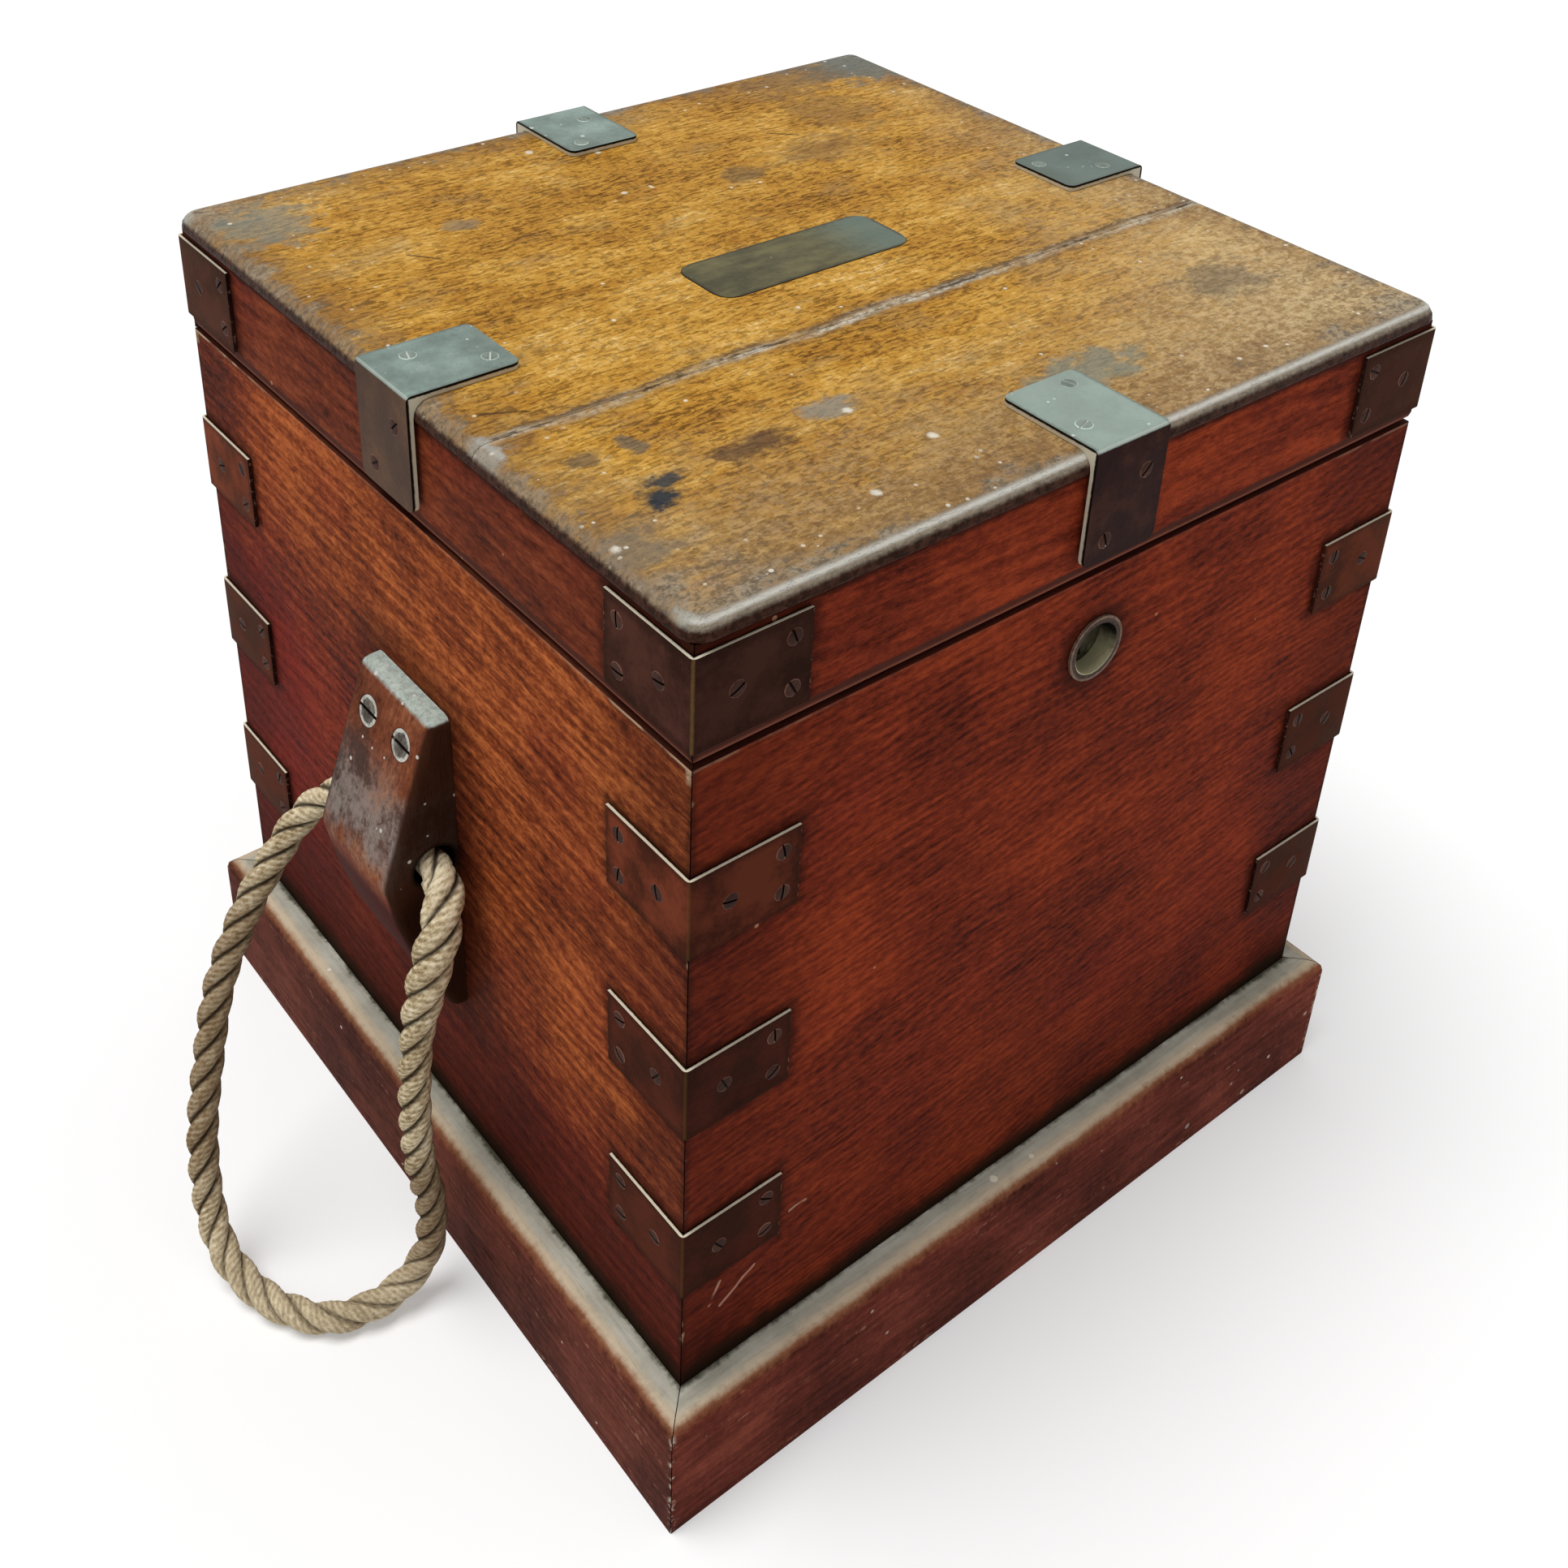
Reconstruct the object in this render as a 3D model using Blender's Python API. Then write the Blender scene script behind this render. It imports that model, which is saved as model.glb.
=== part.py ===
"""Brass-bound military chest with a hinged lid, a lock and a rope becket on each side.

Units are metres and +Z is up. The front (lock) face looks towards -Y, X runs along it,
and the origin is on the floor under the middle of the chest.
"""

import math

import bmesh
import bpy
from mathutils import Matrix, Vector

# Clearances
GAP = 0.0003
SEAM = 0.0004

# Carcass
BODY_WIDTH = 0.430
BODY_DEPTH = 0.417
BODY_HEIGHT = 0.432
WALL = 0.020
BOTTOM_THICKNESS = 0.018
BOTTOM_RISE = 0.003

# Plinth
PLINTH_HEIGHT = 0.075
PLINTH_PROJECTION = 0.017
PLINTH_ROUND = 0.007

# Lid
LID_HEIGHT = 0.064
LID_BOARD = 0.020
LID_LIP = 0.009
LID_NOSE = 0.002
LID_ROUND = 0.0075
LID_UNDER_ROUND = 0.0012
LID_CORNER = 0.009
LID_FINGER_ROUND = 0.005
FRONT_BOARD_WIDTH = 0.143

# Brass corner brackets
BRASS = 0.0017
BRACKET_LEG = 0.052
BRACKET_ROUND = 0.002
BODY_BRACKET_HEIGHT = 0.040
BODY_BRACKET_TOP_DROP = 0.051
BODY_BRACKET_FOOT_RISE = 0.065
BODY_BRACKET_LEVELS = ("top", "middle", "bottom")
LID_BRACKET_HEIGHT = 0.042
LID_BRACKET_DROP = 0.013
BRACKET_SCREW_END = 0.0085
BRACKET_SCREW_CORNER = 0.018
BRACKET_SCREW_EDGE = 0.0095

# Countersunk holes for the small brass screws
SMALL_HEAD_RADIUS = 0.0040
SMALL_SHANK_RADIUS = 0.0022
SMALL_HOLE_SIDES = 8

# Lid straps
STRAP_WIDTH = 0.043
STRAP_THICKNESS = 0.003
STRAP_TOP_LEG = 0.0495
STRAP_FOOT_RISE = 0.0107
STRAP_FOLD_ROUND = 0.0025
STRAP_CORNER_ROUND = 0.004
STRAP_SCREW_ASIDE = 0.010
STRAP_TOP_SCREWS = (0.0135, 0.041)
STRAP_SIDE_SCREWS = (0.0155, 0.0425)

# Name plate, blank
PLATE_LENGTH = 0.115
PLATE_WIDTH = 0.040
PLATE_CORNER = 0.009
PLATE_THICKNESS = 0.0018
PLATE_PROUD = 0.0003

# Lock, let into the inner side of the front panel
LOCK_WIDTH = 0.088
LOCK_DROP = 0.066
LOCK_SKIN = 0.008
LOCK_PLATE = 0.002
KEY_DROP = 0.040
KEY_CHAMBER_WIDTH = 0.050
KEYHOLE_RADIUS = 0.0036
KEYHOLE_SLOT_WIDTH = 0.0032
KEYHOLE_SLOT_LENGTH = 0.0095
KEY_PIN_RADIUS = 0.0016
KEY_PIN_PROUD = 0.0015
BOLT_DROP = 0.021
BOLT_HEIGHT = 0.007
BOLT_THROW = 0.007
BOLT_LENGTH = 0.066
FINGER_THICKNESS = 0.0025
FINGER_HEIGHT = 0.006
FINGER_ROOT = 0.006
FINGER_SHORT_OF_STAPLE = 0.001
SPRING_THICKNESS = 0.0008
SPRING_WIDTH = 0.005
SPRING_LENGTH = 0.017
STAPLE_PITCH = 0.040
STAPLE_THICKNESS = 0.003
STAPLE_WIDTH = 0.0060
STAPLE_WALL = 0.0013
STAPLE_CLEARANCE = 0.0008
STAPLE_ABOVE_BOLT = 0.0015
LINK_LENGTH = 0.080
LINK_WIDTH = 0.0114
LINK_THICKNESS = 0.0025

# Escutcheon ring round the keyhole recess
RING_FLANGE_RADIUS = 0.0161
RING_TUBE_RADIUS = 0.0147
RING_BORE_RADIUS = 0.0126
RING_FLANGE = 0.0012

# Stopped butt hinges
HINGE_SPACING = 0.220
HINGE_LENGTH = 0.064
HINGE_LEAF = 0.016
HINGE_PLATE = 0.0024
KNUCKLE_RADIUS = 0.0042
LID_KNUCKLE = 0.0214
HINGE_PIN_RADIUS = 0.0022
HINGE_PIN_PROUD = 0.001
STOP_REACH = 0.010
STOP_RISE = 0.0032

# Becket blocks that hold the rope handles
BLOCK_WIDTH = 0.065
BLOCK_RISE = 0.089
BLOCK_HEIGHT = 0.177
BLOCK_TOP_DEPTH = 0.010
BLOCK_RIDGE_DEPTH = 0.0375
BLOCK_RIDGE_DROP = 0.084
BLOCK_RIDGE_ROUND = 0.014
BLOCK_FOOT_DEPTH = 0.0065
BLOCK_BELLY = 0.004
BLOCK_EDGE_ROUND = 0.0045
ROPE_HOLE_DROP = 0.080
ROPE_HOLE_DEPTH = 0.0125
ROPE_HOLE_CLEARANCE = 0.0008
ROPE_HOLE_FLARE = 0.0024
ROPE_HOLE_FLARE_LENGTH = 0.020

# Large screws through each becket block
BIG_HEAD_RADIUS = 0.0077
BIG_SHANK_RADIUS = 0.0032
BIG_HEAD_DEPTH = 0.0042
BIG_SCREW_LENGTH = 0.031
BIG_SCREW_POINT = 0.006
BIG_SCREW_ASIDE = 0.015
BIG_SCREW_DROP = 0.019
BIG_SLOT_WIDTH = 0.0018
BIG_SLOT_DEPTH = 0.0016

# Rope handles: the route is outward, along and up from the middle of the block's hole
ROPE_DIAMETER = 0.016
ROPE_STEP = 0.018
ROPE_ROUTE = (
    (0.000, 0.000, 0.000),
    (0.000, 0.010, 0.000),
    (0.000, 0.020, 0.000),
    (0.003, 0.036, -0.002),
    (0.013, 0.050, -0.010),
    (0.0255, 0.057, -0.0235),
    (0.041, 0.058, -0.042),
    (0.058, 0.057, -0.065),
    (0.0765, 0.054, -0.099),
    (0.0895, 0.049, -0.139),
    (0.1005, 0.042, -0.179),
    (0.1055, 0.034, -0.217),
    (0.1065, 0.019, -0.241),
    (0.1015, -0.003, -0.2505),
    (0.0935, -0.022, -0.252),
    (0.0795, -0.039, -0.252),
    (0.0595, -0.047, -0.2505),
    (0.0405, -0.049, -0.244),
    (0.0275, -0.049, -0.229),
    (0.0245, -0.050, -0.198),
    (0.0295, -0.052, -0.157),
    (0.0305, -0.054, -0.117),
    (0.0275, -0.055, -0.076),
    (0.0235, -0.056, -0.053),
    (0.0175, -0.056, -0.032),
    (0.0095, -0.053, -0.0145),
    (0.0015, -0.042, -0.003),
    (0.000, -0.028, -0.0003),
    (0.000, -0.016, 0.000),
)

# Facets
ROUND_SIDES = 16
SMALL_ROUND_SIDES = 12
EDGE_SEGMENTS = 3
BEND_SEGMENTS = 4
WORN_SEGMENTS = 2
SPRING_SEGMENTS = 6
ROPE_BEVEL_RESOLUTION = 3
OVERSHOOT = 0.001

# Places that several pieces share
HALF_WIDTH = BODY_WIDTH / 2
HALF_DEPTH = BODY_DEPTH / 2
PANEL_FOOT = BOTTOM_RISE + BOTTOM_THICKNESS + GAP
LID_FOOT = BODY_HEIGHT + SEAM
LID_TOP = BODY_HEIGHT + LID_HEIGHT
LIP_FOOT = LID_TOP - LID_LIP
BOARD_JOINT = -HALF_DEPTH + FRONT_BOARD_WIDTH
HINGE_AXIS = Vector((0.0, HALF_DEPTH + KNUCKLE_RADIUS + GAP, BODY_HEIGHT + SEAM / 2))
BLOCK_FOOT = PLINTH_HEIGHT + BLOCK_RISE
BLOCK_TOP = BLOCK_FOOT + BLOCK_HEIGHT
ROPE_HOLE_HEIGHT = BLOCK_TOP - ROPE_HOLE_DROP
ROPE_HOLE_RADIUS = ROPE_DIAMETER / 2 + ROPE_HOLE_CLEARANCE
LOCK_FRONT = -HALF_DEPTH + LOCK_SKIN + GAP
LOCK_BACK = -HALF_DEPTH + WALL
LOCK_CAVITY_FRONT = LOCK_FRONT + LOCK_PLATE
LOCK_CAVITY_BACK = LOCK_BACK - LOCK_PLATE - GAP
LOCK_MIDDLE = (LOCK_CAVITY_FRONT + LOCK_CAVITY_BACK) / 2
LOCK_HEAD = BODY_HEIGHT - GAP
LOCK_FOOT = BODY_HEIGHT - LOCK_DROP
KEY_HEIGHT = BODY_HEIGHT - KEY_DROP
BOLT_TOP = BODY_HEIGHT - BOLT_DROP
STAPLE_FOOT = BOLT_TOP + STAPLE_ABOVE_BOLT
EYE_FOOT = STAPLE_FOOT + STAPLE_WALL
EYE_TOP = EYE_FOOT + FINGER_HEIGHT + 2 * STAPLE_CLEARANCE
STAPLE_MIDDLES = (-STAPLE_PITCH / 2, STAPLE_PITCH / 2)

# Each side's turn about Z, its half length and its distance from the middle
SIDES = {
    "front": (0.0, HALF_WIDTH, HALF_DEPTH),
    "right": (math.pi / 2, HALF_DEPTH, HALF_WIDTH),
    "back": (math.pi, HALF_WIDTH, HALF_DEPTH),
    "left": (-math.pi / 2, HALF_DEPTH, HALF_WIDTH),
}
CORNERS = {
    "front_left": (0.0, (-HALF_WIDTH, -HALF_DEPTH)),
    "front_right": (math.pi / 2, (HALF_WIDTH, -HALF_DEPTH)),
    "back_right": (math.pi, (HALF_WIDTH, HALF_DEPTH)),
    "back_left": (-math.pi / 2, (-HALF_WIDTH, HALF_DEPTH)),
}


# Scene and materials


def clear_scene():
    for old in list(bpy.data.objects):
        bpy.data.objects.remove(old)


def material(name, colour, roughness, metallic=0.0):
    made = bpy.data.materials.new(name)
    made.use_nodes = True
    shader = made.node_tree.nodes["Principled BSDF"]
    shader.inputs["Base Color"].default_value = (*colour, 1.0)
    shader.inputs["Roughness"].default_value = roughness
    shader.inputs["Metallic"].default_value = metallic
    return made


def add_piece(name, shape, finish, turn=0.0, place=(0.0, 0.0, 0.0), axis=None):
    """Adds one named piece. axis is the empty on the joint's axis that a moving piece hangs from."""
    piece = bpy.data.objects.new(name, shape)
    if isinstance(shape, bpy.types.Mesh):
        shape.shade_smooth()
        shape.set_sharp_from_angle(angle=math.radians(35))
    if not shape.materials:
        shape.materials.append(finish)
    piece.rotation_euler.z = turn
    piece.location = Vector(place)
    if axis:
        piece.parent = axis
        piece.location -= axis.location
    bpy.context.collection.objects.link(piece)
    return piece


def add_axis(name, place):
    """An empty on a joint's axis."""
    axis = bpy.data.objects.new(name, None)
    axis.location = place
    axis.empty_display_size = WALL
    bpy.context.collection.objects.link(axis)
    return axis


# Shapes


def finished(shape):
    bmesh.ops.recalc_face_normals(shape, faces=shape.faces)
    mesh = bpy.data.meshes.new("shape")
    shape.to_mesh(mesh)
    shape.free()
    return mesh


def loft(*loops):
    """A closed solid through loops of as many points each, with its two ends filled."""
    shape = bmesh.new()
    rings = [[shape.verts.new(point) for point in loop] for loop in loops]
    count = len(rings[0])
    for first, second in zip(rings, rings[1:]):
        for here in range(count):
            after = (here + 1) % count
            shape.faces.new((first[here], first[after], second[after], second[here]))
    shape.faces.new(rings[0])
    shape.faces.new(rings[-1])
    return finished(shape)


def rounded(mesh, is_chosen, radius):
    """The mesh with those of its edges rounded for which is_chosen(edge) holds."""
    shape = bmesh.new()
    shape.from_mesh(mesh)
    edges = [edge for edge in shape.edges if is_chosen(edge)]
    bmesh.ops.bevel(shape, geom=edges, offset=radius, segments=EDGE_SEGMENTS, profile=0.5, affect="EDGES")
    return finished(shape)


def box(low, high):
    (x0, y0, z0), (x1, y1, z1) = low, high
    outline = ((x0, y0), (x1, y0), (x1, y1), (x0, y1))
    return loft([(x, y, z0) for x, y in outline], [(x, y, z1) for x, y in outline])


def along_x(outline, start, end):
    """A (y, z) outline run from start to end along X."""
    return loft([(start, y, z) for y, z in outline], [(end, y, z) for y, z in outline])


def along_y(outline, start, end):
    """An (x, z) outline run from start to end along Y."""
    return loft([(x, start, z) for x, z in outline], [(x, end, z) for x, z in outline])


def along_z(outline, start, end):
    return loft([(x, y, start) for x, y in outline], [(x, y, end) for x, y in outline])


def arc(centre, radius, start, end, segments):
    """Points on an arc, angles in degrees, both ends included."""
    angles = [math.radians(start + (end - start) * i / segments) for i in range(segments + 1)]
    return [(centre[0] + radius * math.cos(a), centre[1] + radius * math.sin(a)) for a in angles]


def circle(centre, radius, sides):
    return arc(centre, radius, 0, 360, sides)[:-1]


def tube(bore, outer, start, end, sides):
    """A round tube along Y with its axis on the origin."""
    shape = bmesh.new()
    profile = ((bore, start), (outer, start), (outer, end), (bore, end))
    rings = []
    for x, z in circle((0, 0), 1, sides):
        rings.append([shape.verts.new((r * x, y, r * z)) for r, y in profile])
    for first, second in zip(rings, rings[1:] + rings[:1]):
        for here in range(len(profile)):
            after = (here + 1) % len(profile)
            shape.faces.new((first[here], first[after], second[after], second[here]))
    return finished(shape)


def moved(mesh, matrix):
    mesh.transform(matrix)
    return mesh


def combined(operation, mesh, others):
    """The mesh after a Boolean with each of the other meshes in turn."""
    for other in others:
        target = bpy.data.objects.new("target", mesh)
        tool = bpy.data.objects.new("tool", other)
        for helper in (target, tool):
            bpy.context.collection.objects.link(helper)
        change = target.modifiers.new(operation, "BOOLEAN")
        change.operation = operation
        change.object = tool
        graph = bpy.context.evaluated_depsgraph_get()
        mesh = bpy.data.meshes.new_from_object(target.evaluated_get(graph))
        for helper in (target, tool):
            bpy.data.objects.remove(helper)
    return mesh


def cut(mesh, *tools):
    return combined("DIFFERENCE", mesh, tools)


def joined(mesh, *others):
    return combined("UNION", mesh, others)


def mitred(profile, half_length, distance):
    """A board along the front side with mitred ends. Its profile is (outward, height) from the body."""
    ends = []
    for hand in (-1, 1):
        ends.append([(hand * (half_length + out - GAP), -distance - out, z) for out, z in profile])
    return loft(*ends)


def small_countersink(depth):
    """A cutter for one small screw along -Z, with the head's rim at the origin."""
    tip = SMALL_HEAD_RADIUS - SMALL_SHANK_RADIUS
    levels = (
        (OVERSHOOT, SMALL_HEAD_RADIUS),
        (0.0, SMALL_HEAD_RADIUS),
        (-min(tip, depth - GAP), SMALL_SHANK_RADIUS),
        (-depth - OVERSHOOT, SMALL_SHANK_RADIUS),
    )
    return loft(*[[(x, y, z) for x, y in circle((0, 0), r, SMALL_HOLE_SIDES)] for z, r in levels])


# Carcass, plinth and lid


def panel_profile():
    return [(-WALL, PANEL_FOOT), (0, PANEL_FOOT), (0, BODY_HEIGHT), (-WALL, BODY_HEIGHT)]


def plinth_profile():
    edge = (PLINTH_PROJECTION - PLINTH_ROUND, PLINTH_HEIGHT - PLINTH_ROUND)
    rounded = arc(edge, PLINTH_ROUND, 0, 90, EDGE_SEGMENTS)
    return [(GAP, 0), (PLINTH_PROJECTION, 0), *rounded, (GAP, PLINTH_HEIGHT)]


def rail_profile(finger_round):
    """The lid's side wall. Its lower outer edge is eased so that fingers can lift the lid."""
    top = LIP_FOOT - GAP
    eased = [(0, LID_FOOT)]
    if finger_round:
        eased = arc((-finger_round, LID_FOOT + finger_round), finger_round, -90, 0, EDGE_SEGMENTS)
    return [(-WALL, LID_FOOT), *eased, (0, top), (-WALL, top)]


def rounded_outline(length, width, corner):
    """A rectangle about the origin with rounded corners."""
    outline = []
    for start, (side_x, side_y) in zip((0, 90, 180, 270), ((1, 1), (-1, 1), (-1, -1), (1, -1))):
        centre = (side_x * (length / 2 - corner), side_y * (width / 2 - corner))
        outline += arc(centre, corner, start, start + 90, EDGE_SEGMENTS)
    return outline


def rounded_plate(length, width, corner, foot, top):
    return along_z(rounded_outline(length, width, corner), foot, top)


def lid_lip():
    """The lid's top above the rails. It stands a little over them and is rounded at its edges and corners."""
    under = arc((-LID_UNDER_ROUND, LIP_FOOT + LID_UNDER_ROUND), LID_UNDER_ROUND, -90, 0, WORN_SEGMENTS)
    over = arc((-LID_ROUND, LID_TOP - LID_ROUND), LID_ROUND, 0, 90, BEND_SEGMENTS)
    loops = []
    for out, z in (*under, *over):
        length = BODY_WIDTH + 2 * (LID_NOSE + out)
        width = BODY_DEPTH + 2 * (LID_NOSE + out)
        loops.append([(x, y, z) for x, y in rounded_outline(length, width, LID_CORNER + out)])
    return loft(*loops)


def lid_board(front, back):
    """One board of the lid's top: its share of the lip, and a tongue between the rails."""
    share = box((-BODY_WIDTH, front, BODY_HEIGHT), (BODY_WIDTH, back, LID_TOP + OVERSHOOT))
    lip = combined("INTERSECT", lid_lip(), [share])
    inside = HALF_DEPTH - WALL - GAP
    across = HALF_WIDTH - WALL - GAP
    low, high = max(front, -inside), min(back, inside)
    tongue = box((-across, low, LID_TOP - LID_BOARD), (across, high, LIP_FOOT + LID_LIP / 4))
    return joined(lip, tongue)


def build_carcass(oak, dark_oak):
    for side, (turn, half_length, distance) in SIDES.items():
        panel = mitred(panel_profile(), half_length, distance)
        if side == "front":
            panel = cut(panel, lock_mortise(), ring_hole())
        elif side == "back":
            panel = cut(panel, *[hinge_pocket(-x, -1) for x in hinge_middles()])
        else:
            panel = cut(panel, *big_screw_cutters(distance))
        add_piece(f"{side}_panel", panel, oak, turn)
        add_piece(f"plinth_{side}", mitred(plinth_profile(), half_length, distance), dark_oak, turn)
    low = (-HALF_WIDTH, -HALF_DEPTH, BOTTOM_RISE)
    add_piece("bottom_board", box(low, (HALF_WIDTH, HALF_DEPTH, BOTTOM_RISE + BOTTOM_THICKNESS)), oak)


def build_lid(oak, top_oak, brass, hinge_axis):
    for side, (turn, half_length, distance) in SIDES.items():
        finger_round = 0 if side == "back" else LID_FINGER_ROUND
        rail = mitred(rail_profile(finger_round), half_length, distance)
        if side == "front":
            rail = cut(rail, link_pocket())
        elif side == "back":
            rail = cut(rail, *[hinge_pocket(-x, 1) for x in hinge_middles()])
        add_piece(f"lid_{side}_rail", rail, oak, turn, axis=hinge_axis)
    pocket_foot = LID_TOP + PLATE_PROUD - PLATE_THICKNESS
    front_board = lid_board(-BODY_DEPTH, BOARD_JOINT - GAP / 2)
    back_board = lid_board(BOARD_JOINT + GAP / 2, BODY_DEPTH)
    pocket_size = (PLATE_LENGTH + 2 * GAP, PLATE_WIDTH + 2 * GAP, PLATE_CORNER + GAP)
    pocket = rounded_plate(*pocket_size, pocket_foot - GAP, LID_TOP + OVERSHOOT)
    plate = rounded_plate(PLATE_LENGTH, PLATE_WIDTH, PLATE_CORNER, pocket_foot, LID_TOP + PLATE_PROUD)
    add_piece("lid_top_front_board", front_board, top_oak, axis=hinge_axis)
    add_piece("lid_top_back_board", cut(back_board, pocket), top_oak, axis=hinge_axis)
    add_piece("name_plate", plate, brass, axis=hinge_axis)


# Brass brackets and straps


def bracket(height):
    """An L of brass round a corner at the origin, legs along +X and +Y, standing from z = 0."""
    inner, outer = -GAP, -GAP - BRASS
    bend = arc((outer + BRACKET_ROUND, outer + BRACKET_ROUND), BRACKET_ROUND, 180, 270, EDGE_SEGMENTS)
    leg = BRACKET_LEG
    outline = [*bend, (leg, outer), (leg, inner), (inner, inner), (inner, leg), (outer, leg)]
    places = (
        (leg - BRACKET_SCREW_END, BRACKET_SCREW_EDGE),
        (leg - BRACKET_SCREW_END, height - BRACKET_SCREW_EDGE),
        (BRACKET_SCREW_CORNER, height / 2),
    )
    to_front = Matrix.Rotation(math.radians(90), 4, "X")
    to_side = Matrix.Rotation(math.radians(-90), 4, "Y")
    tools = []
    for along, z in places:
        tools.append(moved(small_countersink(BRASS), Matrix.Translation((along, outer, z)) @ to_front))
        tools.append(moved(small_countersink(BRASS), Matrix.Translation((outer, along, z)) @ to_side))
    return cut(along_z(outline, 0, height), *tools)


def body_bracket_feet():
    """Heights of the feet of the brackets at one corner, evenly spread from top to bottom."""
    top = BODY_HEIGHT - BODY_BRACKET_TOP_DROP - BODY_BRACKET_HEIGHT
    bottom = PLINTH_HEIGHT + BODY_BRACKET_FOOT_RISE
    steps = len(BODY_BRACKET_LEVELS) - 1
    return {level: top + (bottom - top) * i / steps for i, level in enumerate(BODY_BRACKET_LEVELS)}


def build_brackets(brass, hinge_axis):
    body_mesh = bracket(BODY_BRACKET_HEIGHT)
    lid_mesh = bracket(LID_BRACKET_HEIGHT)
    lid_foot = LID_TOP - LID_BRACKET_DROP - LID_BRACKET_HEIGHT
    for corner, (turn, (x, y)) in CORNERS.items():
        for level, foot in body_bracket_feet().items():
            add_piece(f"body_bracket_{corner}_{level}", body_mesh, brass, turn, (x, y, foot))
        add_piece(f"lid_bracket_{corner}", lid_mesh, brass, turn, (x, y, lid_foot), hinge_axis)


def strap(distance):
    """A brass strap over the lid's top edge, on the front side at this distance from the middle.

    Inside it follows the edge's round. Outside it is folded almost square.
    """
    foot = LID_FOOT + STRAP_FOOT_RISE
    low, high = LID_TOP + GAP, LID_TOP + GAP + STRAP_THICKNESS
    near, far = LID_NOSE + GAP, LID_NOSE + GAP + STRAP_THICKNESS
    inner_bend = arc((LID_NOSE - LID_ROUND, LID_TOP - LID_ROUND), LID_ROUND + GAP, 90, 0, BEND_SEGMENTS)
    fold = (far - STRAP_FOLD_ROUND, high - STRAP_FOLD_ROUND)
    outer_bend = arc(fold, STRAP_FOLD_ROUND, 0, 90, EDGE_SEGMENTS)
    side_leg = [(near, foot), (far, foot)]
    profile = [(-STRAP_TOP_LEG, high), (-STRAP_TOP_LEG, low), *inner_bend, *side_leg, *outer_bend]
    solid = along_x([(-distance - out, z) for out, z in profile], -STRAP_WIDTH / 2, STRAP_WIDTH / 2)

    def is_corner(edge):
        first, second = [corner.co for corner in edge.verts]
        at_end = min(first.y, second.y) > STRAP_TOP_LEG - distance - GAP
        at_foot = max(first.z, second.z) < foot + GAP
        return first.x * second.x > 0 and (at_end or at_foot)

    solid = rounded(solid, is_corner, STRAP_CORNER_ROUND)
    to_front = Matrix.Rotation(math.radians(90), 4, "X")
    tools = []
    sides = (-STRAP_SCREW_ASIDE, STRAP_SCREW_ASIDE)
    for aside, inward, down in zip(sides, STRAP_TOP_SCREWS, STRAP_SIDE_SCREWS):
        on_top = Matrix.Translation((aside, inward - distance, high))
        on_side = Matrix.Translation((-aside, -distance - far, LID_TOP - down)) @ to_front
        tools += [moved(small_countersink(STRAP_THICKNESS), place) for place in (on_top, on_side)]
    return cut(solid, *tools)


def build_straps(brass, hinge_axis):
    for side, (turn, _, distance) in SIDES.items():
        add_piece(f"lid_strap_{side}", strap(distance), brass, turn, axis=hinge_axis)


# Lock


def lock_mortise():
    across = LOCK_WIDTH / 2 + GAP
    low = (-across, -HALF_DEPTH + LOCK_SKIN, LOCK_FOOT - GAP)
    return box(low, (across, LOCK_BACK + OVERSHOOT, BODY_HEIGHT + OVERSHOOT))


def ring_hole():
    outline = circle((0, KEY_HEIGHT), RING_TUBE_RADIUS + GAP, 2 * ROUND_SIDES)
    return along_y(outline, -HALF_DEPTH - OVERSHOOT, LOCK_FRONT + OVERSHOOT)


def escutcheon():
    """A flanged brass bush that lines the recess in front of the keyhole."""
    face = -HALF_DEPTH - GAP
    sides = 2 * ROUND_SIDES
    bush = tube(RING_BORE_RADIUS, RING_TUBE_RADIUS, face - RING_FLANGE / 2, LOCK_FRONT - GAP, sides)
    flange = tube(RING_BORE_RADIUS, RING_FLANGE_RADIUS, face - RING_FLANGE, face, sides)
    return moved(joined(flange, bush), Matrix.Translation((0, 0, KEY_HEIGHT)))


def lock_case():
    """A tray open to the back, with ledges for the bolt, staple slots in its top and a keyhole."""
    across = LOCK_WIDTH / 2
    inside = across - LOCK_PLATE
    ledge = BOLT_TOP - BOLT_HEIGHT - GAP
    rear = LOCK_CAVITY_BACK + OVERSHOOT
    case = box((-across, LOCK_FRONT, LOCK_FOOT), (across, LOCK_CAVITY_BACK, LOCK_HEAD))
    bolt_chamber = box((-inside, LOCK_CAVITY_FRONT, ledge), (inside, rear, LOCK_HEAD - LOCK_PLATE))
    key_low = (-KEY_CHAMBER_WIDTH / 2, LOCK_CAVITY_FRONT, LOCK_FOOT + LOCK_PLATE)
    key_chamber = box(key_low, (KEY_CHAMBER_WIDTH / 2, rear, ledge + OVERSHOOT))
    slots = []
    for middle in STAPLE_MIDDLES:
        half = STAPLE_THICKNESS / 2 + STAPLE_CLEARANCE
        low = (middle - half, LOCK_CAVITY_FRONT, LOCK_HEAD - LOCK_PLATE - OVERSHOOT)
        slots.append(box(low, (middle + half, rear, LOCK_HEAD + OVERSHOOT)))
    front, back = LOCK_FRONT - OVERSHOOT, LOCK_CAVITY_FRONT + OVERSHOOT
    round_hole = along_y(circle((0, KEY_HEIGHT), KEYHOLE_RADIUS, SMALL_ROUND_SIDES), front, back)
    half = KEYHOLE_SLOT_WIDTH / 2
    bit_slot = box((-half, front, KEY_HEIGHT - KEYHOLE_SLOT_LENGTH), (half, back, KEY_HEIGHT))
    return cut(case, bolt_chamber, key_chamber, *slots, round_hole, bit_slot)


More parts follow.
